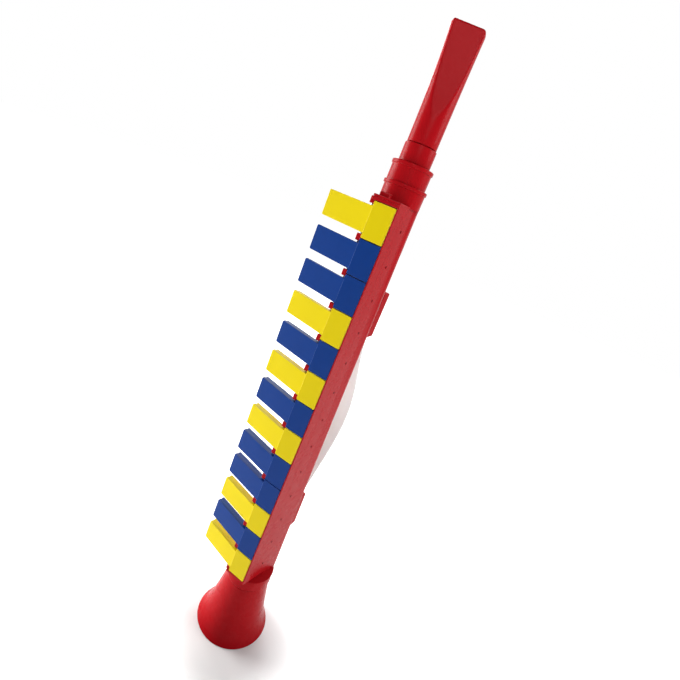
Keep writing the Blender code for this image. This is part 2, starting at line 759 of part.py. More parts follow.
def make_ferrule(root, material):
    profile = [
        (FERRULE_RADIUS, FERRULE_TOP),
        (FERRULE_RADIUS, FERRULE_FOOT),
        (FERRULE_TENON_RADIUS, FERRULE_FOOT),
        (FERRULE_TENON_RADIUS, FERRULE_FOOT - FERRULE_TENON),
        (FERRULE_BORE, FERRULE_FOOT - FERRULE_TENON),
        (FERRULE_BORE, FERRULE_TOP),
    ]
    ferrule = add_part("ferrule", turned("ferrule", profile), material, root, (TUBE_SHIFT, 0, 0))
    add_screw(ferrule)


def mouth_ring(radius, half_width, half_thick, share, z):
    """A ring of the mouthpiece: a circle that turns into a flat lip as share goes to 1."""
    ring = []
    for i in range(TURN_STEPS):
        angle = 2 * math.pi * i / TURN_STEPS
        c = math.cos(angle)
        s = math.sin(angle)
        lip_x = half_width * math.copysign(abs(c) ** (2 / LIP_SQUARENESS), c)
        lip_y = half_thick * math.copysign(abs(s) ** (2 / LIP_SQUARENESS), s)
        x = radius * c + (lip_x - radius * c) * share
        y = radius * s + (lip_y - radius * s) * share
        ring.append((x, y, z))
    return ring


def make_mouthpiece(root, material):
    tenon_foot = MOUTH_FOOT - MOUTH_TENON
    outside = [
        mouth_ring(MOUTH_TENON_RADIUS, 0, 0, 0, tenon_foot),
        mouth_ring(MOUTH_TENON_RADIUS, 0, 0, 0, MOUTH_FOOT),
        mouth_ring(MOUTH_RADIUS, 0, 0, 0, MOUTH_FOOT),
    ]
    inside = [mouth_ring(AIRWAY_RADIUS, 0, 0, 0, tenon_foot)]
    slot_width = LIP_HALF_WIDTH - LIP_END_WALL
    slot_thick = LIP_HALF_THICK - LIP_WALL
    for i in range(MOUTH_STATIONS + 1):
        z = MOUTH_FOOT + MOUTH_ROUND + (MOUTH_LENGTH - MOUTH_ROUND) * i / MOUTH_STATIONS
        flat = (i / MOUTH_STATIONS) ** LIP_TAPER
        outside.append(mouth_ring(MOUTH_RADIUS, LIP_HALF_WIDTH, LIP_HALF_THICK, flat, z))
        inside.append(mouth_ring(AIRWAY_RADIUS, slot_width, slot_thick, flat, z))

    def skin(bm):
        put_loft(bm, outside + inside[::-1])

    mouthpiece = add_part("mouthpiece", finished_mesh("mouthpiece", skin), material, root, (TUBE_SHIFT, 0, 0))
    mouthpiece.rotation_euler.z = math.radians(MOUTH_TURN)


def strap_end(z, rise):
    """The strap's middle line behind the bell's axis where it leaves a lug at this height."""
    return back_depth(z) + rise - LUG_OUTER_WALL - SEAT_GAP - STRAP_THICK / 2


def strap_line():
    """The strap's middle line in Y and Z, from its tail in the lower lug to its tail in the upper one."""
    low_y = strap_end(STRAP_FOOT, LOWER_LUG_RISE)
    high_y = strap_end(UPPER_LUG_FOOT, UPPER_LUG_RISE)
    points = [Vector((low_y, STRAP_FOOT - STRAP_TAIL))]
    for i in range(STRAP_STATIONS + 1):
        u = i / STRAP_STATIONS
        bow = max(0.0, math.sin(math.pi * (1 - (1 - u) ** STRAP_SKEW)))
        y = low_y + (high_y - low_y) * u + STRAP_BOW * bow**STRAP_SHAPE
        points.append(Vector((y, STRAP_FOOT + STRAP_SPAN * u)))
    points.append(Vector((high_y, UPPER_LUG_FOOT + STRAP_TAIL)))
    return points


def strap_faces():
    """The strap's outer and inner lines, half its thickness to either side of its middle line."""
    line = strap_line()
    outer = []
    inner = []
    for i, point in enumerate(line):
        run = (line[min(i + 1, len(line) - 1)] - line[max(i - 1, 0)]).normalized()
        side = Vector((run.y, -run.x)) * STRAP_THICK / 2
        outer.append(point + side)
        inner.append(point - side)
    return outer, inner


def make_strap(root, material, lug_material):
    outer, inner = strap_faces()

    def band(bm):
        outline = [tuple(point) for point in outer + inner[::-1]]
        put_prism(bm, outline, BOX_SHIFT - STRAP_WIDTH / 2, BOX_SHIFT + STRAP_WIDTH / 2, "X")

    add_part("hand_strap", finished_mesh("hand_strap", band), material, root)
    make_lug(root, lug_material, "upper_lug", UPPER_LUG_FOOT, UPPER_LUG_RISE, 0, -1)
    make_lug(root, lug_material, "lower_lug", LOWER_LUG_FOOT, LOWER_LUG_RISE, LOWER_LUG_TILT, 1)


def make_lug(root, material, name, foot, rise, tilt, side):
    """A strap lug on the back; side is -1 where the strap goes in at its foot and 1 at its top."""
    top = foot + LUG_LENGTH
    strap_y = strap_end(foot if side < 0 else top, rise)
    foot_face = back_depth(foot) + rise + (0 if side < 0 else tilt)
    top_face = back_depth(top) + rise + (tilt if side < 0 else 0)
    slot_end = foot + STRAP_TAIL + SEAT_GAP if side < 0 else top - STRAP_TAIL - SEAT_GAP
    slot_mouth = foot - OVERLAP if side < 0 else top + OVERLAP

    def block(bm):
        outline = [
            (back_depth(foot) + SEAT_GAP, foot),
            (foot_face, foot),
            (top_face, top),
            (back_depth(top) + SEAT_GAP, top),
        ]
        put_prism(bm, outline, BOX_SHIFT - LUG_HALF_WIDTH, BOX_SHIFT + LUG_HALF_WIDTH, "X")

    def slot(bm):
        half_x = STRAP_WIDTH / 2 + SEAT_GAP
        half_y = STRAP_THICK / 2 + SEAT_GAP
        low = (BOX_SHIFT - half_x, strap_y - half_y, min(slot_end, slot_mouth))
        put_box(bm, low, (BOX_SHIFT + half_x, strap_y + half_y, max(slot_end, slot_mouth)))

    lug = add_part(name, finished_mesh(name, block), material, root)
    boolean(lug, "DIFFERENCE", add_helper(name + "_slot", finished_mesh(name + "_slot", slot), root))


def make_root():
    """An empty on the bell's axis, placed so that the origin is under the middle of the whole horn."""
    tip = PAD_LEFT - TONGUE_REACH
    back = max(point.x for point in strap_faces()[0])
    root = bpy.data.objects.new("bell_axis", None)
    part_collection.objects.link(root)
    root.location = (-(tip + RIM_RADIUS) / 2, -(back - RIM_RADIUS) / 2, 0)
    return root


def main():
    clear_scene()
    root = make_root()
    red = plastic("red_plastic", RED, 0.28)
    yellow = plastic("yellow_plastic", YELLOW, 0.30)
    blue = plastic("blue_plastic", BLUE, 0.30)
    ivory = plastic("ivory_plastic", IVORY, 0.45)
    felt = plastic("seal_felt", FELT, 0.95)
    gasket = plastic("gasket_rubber", GASKET, 0.80)
    steel = plastic("spring_steel", STEEL, 0.30, 1.0)
    brass = plastic("reed_brass", BRASS, 0.35, 1.0)
    make_key_box(root, red)
    make_hinge_rod(root, steel)
    make_keys(root, yellow, blue, felt, steel)
    make_reeds(root, gasket, brass)
    make_back(root, red)
    make_bell(root, red)
    make_socket(root, red)
    make_ferrule(root, red)
    make_mouthpiece(root, red)
    make_strap(root, ivory, red)


main()
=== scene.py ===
"""Finished pieces for the toy piano horn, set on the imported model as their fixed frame.

Metres, +Z up. Sizes are taken from the bell's axis, as in the part's own source: the keys
face -Y, their tongues reach towards -X and the hand strap is on +Y.
"""

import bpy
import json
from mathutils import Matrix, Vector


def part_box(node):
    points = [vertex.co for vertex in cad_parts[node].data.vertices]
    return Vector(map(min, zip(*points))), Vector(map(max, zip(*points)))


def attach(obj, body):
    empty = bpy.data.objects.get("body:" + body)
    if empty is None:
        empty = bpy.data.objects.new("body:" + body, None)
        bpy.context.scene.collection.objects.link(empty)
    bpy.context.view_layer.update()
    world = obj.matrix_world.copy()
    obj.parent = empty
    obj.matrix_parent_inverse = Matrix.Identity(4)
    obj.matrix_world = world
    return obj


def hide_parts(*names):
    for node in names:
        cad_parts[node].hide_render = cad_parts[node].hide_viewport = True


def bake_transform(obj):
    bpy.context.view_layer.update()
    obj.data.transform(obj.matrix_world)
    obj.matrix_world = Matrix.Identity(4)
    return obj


bl_info = {
    "name": "Toy Piano Horn",
    "version": (1, 0, 0),
    "blender": (4, 5, 0),
    "location": "View3D > Sidebar > Horn",
    "description": "Builds the finished pieces of a toy piano horn on its packed frame",
    "category": "Object",
}

import json
import math

import bmesh
import bpy
from bmesh.types import BMEdge, BMVert
from bpy.props import FloatProperty, FloatVectorProperty, IntProperty, PointerProperty
from bpy.types import Operator, Panel, PropertyGroup
from mathutils import Matrix, Vector

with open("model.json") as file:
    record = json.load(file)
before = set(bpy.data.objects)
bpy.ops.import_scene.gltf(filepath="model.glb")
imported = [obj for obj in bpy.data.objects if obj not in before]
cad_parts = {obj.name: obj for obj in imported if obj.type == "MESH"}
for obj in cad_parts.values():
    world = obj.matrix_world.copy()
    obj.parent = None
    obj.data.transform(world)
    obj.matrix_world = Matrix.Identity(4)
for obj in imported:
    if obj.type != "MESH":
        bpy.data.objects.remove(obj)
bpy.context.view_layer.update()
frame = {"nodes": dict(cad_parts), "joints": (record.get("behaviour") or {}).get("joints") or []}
BELL_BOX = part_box("bell")
RIM_RADIUS = (BELL_BOX[1][0] - BELL_BOX[0][0]) / 2
AXIS = Vector(((BELL_BOX[0][0] + BELL_BOX[1][0]) / 2, (BELL_BOX[0][1] + BELL_BOX[1][1]) / 2, 0))
BOX_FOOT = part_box("key_channel")[0][2]
BOX_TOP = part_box("key_channel")[1][2]
HINGES = {joint["child"]: Vector(joint["pos_m"]) for joint in frame["joints"]}
KEY_NAMES = sorted(name for name in HINGES if name.startswith("key_"))
YELLOW_KEYS = ("key_01", "key_04", "key_06", "key_08", "key_11", "key_13")

PLAY = 0.0003  # gap between pieces that fit into each other
FOOT_FLANGE = 0.0020  # thickness of the flange between the body's foot and the bell
HAIR = 0.00002  # least gap between faces, and round the axis of a turned piece
FINE = 0.0002  # rounding of fine edges
MERGE = 1e-6  # points closer than this are one
SHARP = math.radians(28)  # edges that bend more than this are rounded
ROUND = 128  # steps round a large turned piece
CORNERS = ((-1, -1), (1, -1), (1, 1), (-1, 1))
SPRING_ARM = 0.0090  # reach of a spring's arm under its tongue


def length(name, description, default):
    return FloatProperty(
        name=name, description=description, default=default, unit="LENGTH", precision=5
    )


def place_across(name, description, default):
    return FloatVectorProperty(
        name=name, description=description, default=default, size=2, unit="LENGTH", precision=5
    )


def colour(name, description, default):
    return FloatVectorProperty(
        name=name, description=description, default=default, subtype="COLOR", min=0, max=1
    )


def strength(name, description, default):
    return FloatProperty(name=name, description=description, default=default, min=0)


def power(name, description, default):
    return FloatProperty(name=name, description=description, default=default, unit="POWER")


class HornBellSettings(PropertyGroup):
    rim_radius: length("Rim radius", "Outside of the bell's open rim", RIM_RADIUS)
    neck_radius: length("Neck radius", "Outside of the bell where it leaves its collar", 0.0164)
    collar_radius: length("Collar radius", "Outside of the collar round the body's foot", 0.0172)
    collar_height: length("Collar height", "Height of the collar round the body's foot", 0.0082)
    flare_height: length("Flare height", "Height of the flare above the rim", 0.0460)
    cone_growth: length("Cone growth", "How much the straight cone widens down to the rim", 0.0073)
    lip_power: IntProperty(
        name="Lip curl", description="How late the lip curls out", default=7, min=1
    )
    wall: length("Wall", "Thickness of the bell", 0.0020)
    spigot_radius: length("Spigot radius", "Outside of the spigot in the bell's neck", 0.0147)
    spigot_length: length("Spigot length", "How far the spigot reaches into the bell", 0.0130)
    lean: length("Lean", "How far the collar stands beside the rim's middle", -0.0007)
    edge: length("Edge rounding", "Rounding of the bell's edges", 0.0006)


class HornBodySettings(PropertyGroup):
    shift: length("Key box shift", "Middle of the key box beside the bell's axis", -0.0011)
    half_width: length("Half width", "Half the width of the key box", 0.0089)
    front: length("Front", "Front of the key box before the bell's axis", 0.0214)
    back: length("Back", "Back edge of the key box before the bell's axis", 0.0017)
    wall: length("Wall", "Thickness of the key box", 0.0018)
    deck: length("Deck", "Face of the deck under the keys before the bell's axis", 0.0152)
    deck_thick: length("Deck thickness", "Thickness of the deck", 0.0020)
    end_wall: length("End wall", "Thickness of the key box's ends", 0.0019)
    key_pitch: length("Key pitch", "Distance from key to key", 0.0212)
    post_half: length("Post half width", "Half the depth of a hinge post across the rod", 0.0015)
    post_width: length("Post width", "Width of a hinge post along the rod", 0.0040)
    strip_inset: length("Strip inset", "How far the strip's front edge is set in", 0.0011)
    strip_lean: length("Strip lean", "How far the strip's back stands out at the foot", 0.00266)
    flat_top: place_across("Flat, top", "Where the flat side ends at the top", (0.0090, -0.0004))
    flat_foot: place_across("Flat, foot", "Where the flat side ends at the foot", (0.0137, 0.0100))
    bulge_top: place_across("Bulge, top", "Pull of the curve at the top", (0.0109, 0.0040))
    bulge_foot: place_across("Bulge, foot", "Pull of the curve at the foot", (0.0141, 0.0123))
    back_top: place_across("Back, top", "Half width and depth at the top", (0.0101, 0.0106))
    back_foot: place_across("Back, foot", "Half width and depth at the foot", (0.0112, 0.0156))
    back_wall: length("Back wall", "Thickness of the rounded back", 0.0020)
    edge: length("Edge rounding", "Rounding of the body's edges", 0.0004)
    red: colour("Red", "Red of the body, the bell and the mouthpiece", (0.41, 0.005, 0.009))


class HornKeySettings(PropertyGroup):
    crease: length("Crease", "Where pad and tongue meet, from the hinge", 0.00215)
    pad_length: length("Pad length", "Length of a key's pad across the body", 0.0136)
    pad_width: length("Pad width", "Width of a key's pad along the body", 0.0207)
    pad_face: length("Pad face", "Face of a key's pad before its hinge", 0.0036)
    pad_thick: length("Pad thickness", "Thickness of a key's pad", 0.0030)
    reach: length("Tongue reach", "Length of a key's tongue beyond the crease", 0.0316)
    drop: length("Tongue drop", "How far the tongue's tip lies behind the pad's face", 0.00665)
    step: length("Crease step", "How far the tongue's root lies behind the pad's face", 0.00025)
    width: length("Tongue width", "Width of a key's tongue", 0.0152)
    thick: length("Tongue thickness", "Thickness of a key's tongue", 0.0022)
    skirt_depth: length("Skirt depth", "Depth of the tongue's turned-down rim", 0.0060)
    skirt_wall: length("Skirt wall", "Thickness of the tongue's turned-down rim", 0.0012)
    skirt_length: length("Skirt length", "Length of the tongue's turned-down rim", 0.0215)
    rib_depth: length("Rib depth", "Depth of the ribs from the rim to the hinge", 0.0046)
    hub_radius: length("Hub radius", "Outside of a key's hinge hubs", 0.0022)
    bore_radius: length("Bore radius", "Hole for the rod in hubs and posts", 0.0010)
    rod_radius: length("Rod radius", "Outside of the hinge rod", 0.00075)
    hub_space: length("Hub space", "Room between a key's two hubs for its spring", 0.0052)
    wire: length("Spring wire", "Thickness of the spring wire", 0.0007)
    edge: length("Edge rounding", "Rounding of the keys' edges", 0.00035)
    yellow: colour("Yellow", "Yellow of the keys", (0.80, 0.63, 0.004))
    blue: colour("Blue", "Blue of the keys", (0.004, 0.040, 0.222))
    felt: colour("Felt", "Colour of the soft pads under the keys", (0.60, 0.58, 0.54))


class HornMouthSettings(PropertyGroup):
    shift: length("Shift", "Blowing axis beside the bell's axis", -0.0031)
    cap: length("Cap", "Thickness of the cap on the body", 0.0012)
    root_shift: length("Root shift", "Middle of the socket's root beside the blowing axis", 0.0005)
    root_radius: length("Root radius", "Outside of the socket's root", 0.0123)
    low_flange_shift: length(
        "Lower flange shift", "Middle of the lower flange beside the blowing axis", 0.0004
    )
    low_flange_radius: length("Lower flange radius", "Outside of the socket's lower flange", 0.0130)
    tab_shift: length(
        "Tab shift", "Middle of the cap's small tab beside the key box's middle", -0.0042
    )
    tab_width: length("Tab width", "Width of the cap's small tab", 0.0064)
    tab_height: length("Tab height", "Height of the cap's small tab", 0.0025)
    sleeve_radius: length("Sleeve radius", "Outside of the socket between its two flanges", 0.0117)
    flange_radius: length("Flange radius", "Outside of the socket's flanges", 0.0123)
    flange: length("Flange", "Thickness of the socket's flanges", 0.0021)
    ferrule_radius: length("Ferrule radius", "Outside of the ferrule", 0.0093)
    ferrule_tenon: length("Ferrule tenon", "Outside of the ferrule inside the socket", 0.0074)
    radius: length("Mouthpiece radius", "Outside of the mouthpiece's round part", 0.0087)
    tenon: length("Mouthpiece tenon", "Outside of the mouthpiece inside the ferrule", 0.0055)
    airway: length("Airway", "Inside of the mouthpiece's round part", 0.0037)
    round_part: length("Round part", "Length of the mouthpiece below its flats", 0.0150)
    lip_width: length("Lip half width", "Half the width of the lip end", 0.0098)
    lip_thick: length("Lip half thickness", "Half the thickness of the lip end", 0.0039)
    slot_width: length("Slot half width", "Half the width of the lip end's slot", 0.0062)
    slot_thick: length("Slot half thickness", "Half the thickness of the lip end's slot", 0.0019)
    lip_lean: length("Lip lean", "How far the lip end stands beside the blowing axis", -0.0007)
    left_round: length("Left rounding", "Rounding of the lip end's left corner", 0.0015)
    right_round: length("Right rounding", "Rounding of the lip end's right corner", 0.0030)
    turn: FloatProperty(
        name="Turn",
        description="How far the lip is turned",
        default=math.radians(21),
        unit="ROTATION",
    )
    edge: length("Edge rounding", "Rounding of flanges and ferrule", 0.0005)


class HornStrapSettings(PropertyGroup):
    width: length("Width", "Width of the hand strap", 0.0150)
    thick: length("Thickness", "Thickness of the hand strap", 0.0018)
    bow: length("Bow", "How far the strap stands off the body", 0.0305)
    skew: FloatProperty(
        name="Skew", description="How far the bow leans to one end", default=1.2, min=0.1
    )
    shape: FloatProperty(
        name="Shape", description="How softly the bow starts and ends", default=1.15, min=0.1
    )
    tail: length("Tail", "Length of the strap's ends in their lugs", 0.0100)
    lug_half: length("Lug half width", "Half the width of a strap lug", 0.0090)
    lug_wall: length("Lug wall", "Thickness of a lug outside the strap", 0.0044)
    upper_rise: length("Upper lug rise", "Height of the upper lug over the back", 0.0088)
    lower_rise: length("Lower lug rise", "Height of the lower lug over the back", 0.0126)
    lower_tilt: length("Lower lug tilt", "How much higher the lower lug is at its foot", 0.0020)
    edge: length("Edge rounding", "Rounding of the strap and its lugs", 0.0007)
    ivory: colour("Ivory", "Colour of the hand strap", (0.81, 0.82, 0.81))


class HornStageSettings(PropertyGroup):
    camera: FloatVectorProperty(
        name="Camera",
        description="Where the camera stands from the bell's axis",
        default=(0.090223, -0.243064, 0.331606),
        subtype="TRANSLATION",
        unit="LENGTH",
    )
    lens: FloatProperty(
        name="Lens", description="Focal length on a 36 mm sensor", default=22.70, unit="CAMERA"
    )
    floor: colour("Floor", "Colour of the floor", (0.86, 0.86, 0.86))
    # Painted bounce light: the floor's glow lights the horn from below and leaves a painted shadow
    # round the bell.
    painted_bounce: strength("Floor glow", "Strength of the lit floor's own light", 0.66)
    sky: strength("Ring light", "Strength of the even light from all round", 0.36)
    ceiling: strength("Ceiling", "Strength of the light from above", 0.05)
    room: strength("Room", "Brightness of the room before the backdrop in gloss", 0.10)
    back_power: power("Back lamp", "Power of the lamp above the back", 8.5)
    low_power: power("Low lamp", "Power of the lamp beside the bell", 0.35)
    top_power: power("Top lamp", "Power of the lamp before the mouthpiece", 0.10)
    left_power: power("Left lamp", "Power of the lamp on the left", 8.5)
    right_power: power("Right lamp", "Power of the lamp on the right", 5.2)


def of_kind(items, kind):
    return [item for item in items if isinstance(item, kind)]


def softened(points, reach, steps=4):
    """A closed outline whose corners are rounded by reach, or by a point's own third value."""
    most = 0.45  # the share of a side that one corner's rounding may take
    straight = math.radians(155)
    corners = [Vector(point[:2]) for point in points]
    soft = []
    for i, corner in enumerate(corners):
        before = corners[i - 1] - corner
        after = corners[(i + 1) % len(corners)] - corner
        own = points[i][2] if len(points[i]) > 2 else reach
        cut = min(own, most * before.length, most * after.length)
        if cut < MERGE or before.angle(after) > straight:
            soft.append(corner)
            continue
        start = corner + before.normalized() * cut
        end = corner + after.normalized() * cut
        for step in range(steps + 1):
            t = step / steps
            soft.append((1 - t) ** 2 * start + 2 * t * (1 - t) * corner + t * t * end)
    return soft


def turned(profile, edge, centre=(0, 0), steps=96):
    """A turned piece from its closed outline in (radius, height)."""
    bm = bmesh.new()
    verts = [bm.verts.new((point.x, 0, point.y)) for point in softened(profile, edge)]
    edges = [bm.edges.new(pair) for pair in zip(verts, verts[1:] + verts[:1])]
    bmesh.ops.spin(
        bm,
        geom=verts + edges,
        cent=(0, 0, 0),
        axis=(0, 0, 1),
        angle=2 * math.pi,
        steps=steps,
        use_merge=True,
    )
    bmesh.ops.remove_doubles(bm, verts=bm.verts, dist=MERGE)
    bmesh.ops.recalc_face_normals(bm, faces=bm.faces)
    bmesh.ops.translate(bm, verts=bm.verts, vec=(*centre, 0))
    return bm


def plug(radius, first, last, *rounding):
    """The outline of a solid turned piece between two heights."""
    edges = [(radius, first, *rounding), (radius, last, *rounding)]
    return [(HAIR, first, 0), *edges, (HAIR, last, 0)]


def cylinder(radius, depth, segments=32, middle=(0, 0, 0)):
    bm = bmesh.new()
    bmesh.ops.create_cone(
        bm,
        cap_ends=True,
        segments=segments,
        radius1=radius,
        radius2=radius,
        depth=depth,
        matrix=Matrix.Translation(middle),
    )
    return bm


def pushed(outline, low, high, along):
    """An outline in the two other directions, pushed from low to high along X, Y or Z."""
    bm = bmesh.new()
    axis = "XYZ".index(along)
    verts = []
    for point in outline:
        place = list(point[:2])
        place.insert(axis, low)
        verts.append(bm.verts.new(place))
    face = bm.faces.new(verts)
    moved = bmesh.ops.extrude_face_region(bm, geom=[face])["geom"]
    step = Vector((0, 0, 0))
    step[axis] = high - low
    bmesh.ops.translate(bm, verts=of_kind(moved, BMVert), vec=step)
    bmesh.ops.recalc_face_normals(bm, faces=bm.faces)
    return bm


def plate(outline, low, high, along, edge, segments=3, steps=4):
    """A pushed outline with its own corner roundings, and with its edges rounded."""
    return eased(pushed(softened(outline, 0, steps), low, high, along), edge, segments)


def block(low, high):
    bm = bmesh.new()
    low, high = Vector(low), Vector(high)
    place = Matrix.Translation((low + high) / 2) @ Matrix.Diagonal((*(high - low), 1))
    bmesh.ops.create_cube(bm, size=1, matrix=place)
    return bm


def lofted(rings, round_ring=True, ends="caps"):
    """A skin drawn from ring to ring; ends are capped, bridged to each other or left open."""
    bm = bmesh.new()
    verts = [bm.verts.new(point) for point in rings[0]]
    pairs = list(zip(verts, verts[1:])) + ([(verts[-1], verts[0])] if round_ring else [])
    edges = [bm.edges.new(pair) for pair in pairs]
    first = list(edges)
    for ring in rings[1:]:
        made = bmesh.ops.extrude_edge_only(bm, edges=edges)["geom"]
        fresh = set(of_kind(made, BMVert))
        verts = [
            next(e.other_vert(v) for e in v.link_edges if e.other_vert(v) in fresh) for v in verts
        ]
        for vert, point in zip(verts, ring):
            vert.co = point
        edges = [e for e in of_kind(made, BMEdge) if all(v in fresh for v in e.verts)]
    if ends == "caps":
        bmesh.ops.edgeloop_fill(bm, edges=first)
        bmesh.ops.edgeloop_fill(bm, edges=edges)
    elif ends == "bridge":
        bmesh.ops.bridge_loops(bm, edges=first + edges)
    bmesh.ops.recalc_face_normals(bm, faces=bm.faces)
    return bm


def wire_rings(path, radius, sides=10):
    """Rings round a path for a wire of this radius."""
    rings = []
    side = Vector((0, 0, 1))
    turns = [2 * math.pi * k / sides for k in range(sides)]
    for i, point in enumerate(path):
        run = (path[min(i + 1, len(path) - 1)] - path[max(i - 1, 0)]).normalized()
        side = (side - run * side.dot(run)).normalized()
        other = run.cross(side)
        rings.append([point + radius * (math.cos(a) * side + math.sin(a) * other) for a in turns])
    return rings


def eased(bm, width, segments=3, chosen=None):
    """Rounds a shape's sharp edges and marks the narrow faces that this makes, which the skin
    paints pale as wear and as a painted highlight.
    """
    edge_wear_and_sheen = bm.faces.layers.float.get("edge_wear_and_sheen") or bm.faces.layers.float.new("edge_wear_and_sheen")
    edges = [e for e in bm.edges if e.is_manifold and e.calc_face_angle_signed(0) > SHARP]
    if chosen:
        edges = [e for e in edges if chosen(e)]
    made = bmesh.ops.bevel(
        bm,
        geom=edges,
        offset=width,
        offset_type="OFFSET",
        affect="EDGES",
        segments=segments,
        profile=0.5,
        material=-1,
        loop_slide=True,
        clamp_overlap=True,
    )
    for face in made["faces"]:
        face[edge_wear_and_sheen] = 1.0
    return bm


def as_mesh(name, bm):
    """The bmesh as a new mesh; the bmesh itself is freed."""
    mesh = bpy.data.meshes.new(name)
    bm.to_mesh(mesh)
    bm.free()
    return mesh


def add_object(name, data):
    obj = bpy.data.objects.new(name, data)
    bpy.context.scene.collection.objects.link(obj)
    return obj


def together(*shapes):
    """Several shapes as one bmesh."""
    bm = bmesh.new()
    bm.faces.layers.float.new("edge_wear_and_sheen")
    for shape in shapes:
        mesh = as_mesh("shape", shape)
        bm.from_mesh(mesh)
        bpy.data.meshes.remove(mesh)
    return bm


def joined(base, *steps):
    """One shape from base and the shapes that are joined to it or cut from it in turn."""
    shapes = (base, *[shape for _, shape in steps])
    made = [add_object("shape", as_mesh("shape", shape)) for shape in shapes]
    for (operation, _), other in zip(steps, made[1:]):
        modifier = made[0].modifiers.new("step", "BOOLEAN")
        modifier.operation = operation
        modifier.object = other
    bpy.context.view_layer.update()
    result = made[0].evaluated_get(bpy.context.evaluated_depsgraph_get())
    mesh = bpy.data.meshes.new_from_object(result)
    for obj in made:
        data = obj.data
        bpy.data.objects.remove(obj)
        bpy.data.meshes.remove(data)
    bm = bmesh.new()
    bm.from_mesh(mesh)
    bpy.data.meshes.remove(mesh)
    if not bm.faces:
        raise RuntimeError("a join left nothing")
    return bm


def piece(
    name, bm, material, body=None, stands_for=(), place=AXIS, smooth=40, flat_faces=True
):
    """A finished piece: its mesh in place, its finish, its body and the nodes it stands for."""
    bmesh.ops.translate(bm, verts=bm.verts, vec=place)
    mesh = as_mesh(name, bm)
    mesh.shade_smooth()
    mesh.set_sharp_from_angle(angle=math.radians(smooth))
    mesh.materials.clear()
    mesh.materials.append(material)
    obj = add_object(name, mesh)
    if flat_faces:
        even = obj.modifiers.new("even shading", "WEIGHTED_NORMAL")
        even.keep_sharp = True
    if body:
        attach(obj, body)
    if stands_for:
        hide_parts(*stands_for)
    return obj


def add_node(tree, kind, inputs=None, **settings):
    node = tree.nodes.new(kind)
    for name, value in settings.items():
        setattr(node, name, value)
    for name, value in (inputs or {}).items():
        if isinstance(value, bpy.types.NodeSocket):
            tree.links.new(value, node.inputs[name])
        else:
            node.inputs[name].default_value = value
    return node


def object_place(tree):
    return add_node(tree, "ShaderNodeTexCoord").outputs["Object"]


def mapped(tree, where, **inputs):
    return add_node(tree, "ShaderNodeMapping", {"Vector": where, **inputs}).outputs["Vector"]


def noise(tree, where, scale, detail, **more):
    inputs = {"Vector": where, "Scale": scale, "Detail": detail, **more}
    return add_node(tree, "ShaderNodeTexNoise", inputs).outputs["Fac"]


def ranged(tree, value, span, goal, **settings):
    """A value carried over from one span to another."""
    labels = ("Value", "From Min", "From Max", "To Min", "To Max")
    inputs = dict(zip(labels, (value, *span, *goal)))
    return add_node(tree, "ShaderNodeMapRange", inputs, **settings).outputs["Result"]


def reckoned(tree, operation, *values, **settings):
    """The result of a sum, a product or the like."""
    inputs = dict(enumerate(values))
    return add_node(tree, "ShaderNodeMath", inputs, operation=operation, **settings).outputs[0]


def toned(tree, tint, **inputs):
    return add_node(tree, "ShaderNodeHueSaturation", {"Color": tint, **inputs}).outputs["Color"]


def skin_group(name, inputs):
    """A new node group for colour, roughness and height, and the sockets of what it is given."""
    tree = bpy.data.node_groups.new(name, "ShaderNodeTree")
    for label, value in inputs.items():
        kind = "NodeSocketColor" if label == "Colour" else "NodeSocketFloat"
        socket = tree.interface.new_socket(label, in_out="INPUT", socket_type=kind)
        socket.default_value = value
    for label in ("Colour", "Roughness", "Height"):
        kind = "NodeSocketColor" if label == "Colour" else "NodeSocketFloat"
        tree.interface.new_socket(label, in_out="OUTPUT", socket_type=kind)
    return tree, tree.nodes.new("NodeGroupInput").outputs


def moulded_skin():
    """Moulded plastic: colour that drifts with the flow, uneven gloss, grain, and edges paled
    partly by wear and partly as a painted highlight.
    """
    name = "moulded skin"
    if name in bpy.data.node_groups:
        return bpy.data.node_groups[name]
    inputs = {"Colour": (0.5, 0.5, 0.5, 1), "Drift": 0.10, "Roughness": 0.30, "Edge wear and sheen": 0.20}
    tree, given = skin_group(name, inputs)
    where = object_place(tree)
    flow = noise(tree, mapped(tree, where, Scale=(1.0, 1.0, 0.25)), 55.0, 3.0)
    cloud = noise(tree, where, 140.0, 4.0)
    grain = noise(tree, where, 2600.0, 2.0)
    peel = noise(tree, where, 420.0, 1.0)
    slant = mapped(tree, where, Rotation=(0.5, 0.3, 0.9), Scale=(1.0, 14.0, 1.0))
    streak = noise(tree, slant, 120.0, 6.0, Roughness=0.7)
    scratch = ranged(tree, streak, (0.62, 0.74), (0.0, 1.0))
    swing = reckoned(tree, "MULTIPLY", reckoned(tree, "SUBTRACT", flow, 0.5), given["Drift"])
    drifted = toned(tree, given["Colour"], Value=reckoned(tree, "ADD", swing, 1.0))
    edge_wear_and_sheen = add_node(tree, "ShaderNodeAttribute", attribute_name="edge_wear_and_sheen").outputs["Fac"]
    uneven_wear_sheen = ranged(tree, cloud, (0.35, 0.65), (0.4, 1.0))
    patchy = reckoned(tree, "MULTIPLY", edge_wear_and_sheen, uneven_wear_sheen)
    share = reckoned(tree, "MULTIPLY", patchy, given["Edge wear and sheen"])
    # Wear and painted highlight: the marked edge faces are paled and lightened, in patches.
    pale = toned(tree, drifted, Saturation=0.82, Value=1.7)
    # A mix of colours has its factor in socket 0, its two colours in 6 and 7, its result in 2.
    edged = add_node(tree, "ShaderNodeMix", {0: share, 6: drifted, 7: pale}, data_type="RGBA")
    uneven = ranged(tree, cloud, (0.3, 0.7), (-0.02, 0.03))
    rough = reckoned(tree, "ADD", given["Roughness"], uneven)
    scuffed = reckoned(tree, "MULTIPLY_ADD", scratch, 0.03, rough, use_clamp=True)
    height = reckoned(tree, "MULTIPLY_ADD", grain, 0.35, peel)
    result = {"Colour": edged.outputs[2], "Roughness": scuffed, "Height": height}
    add_node(tree, "NodeGroupOutput", result)
    return tree


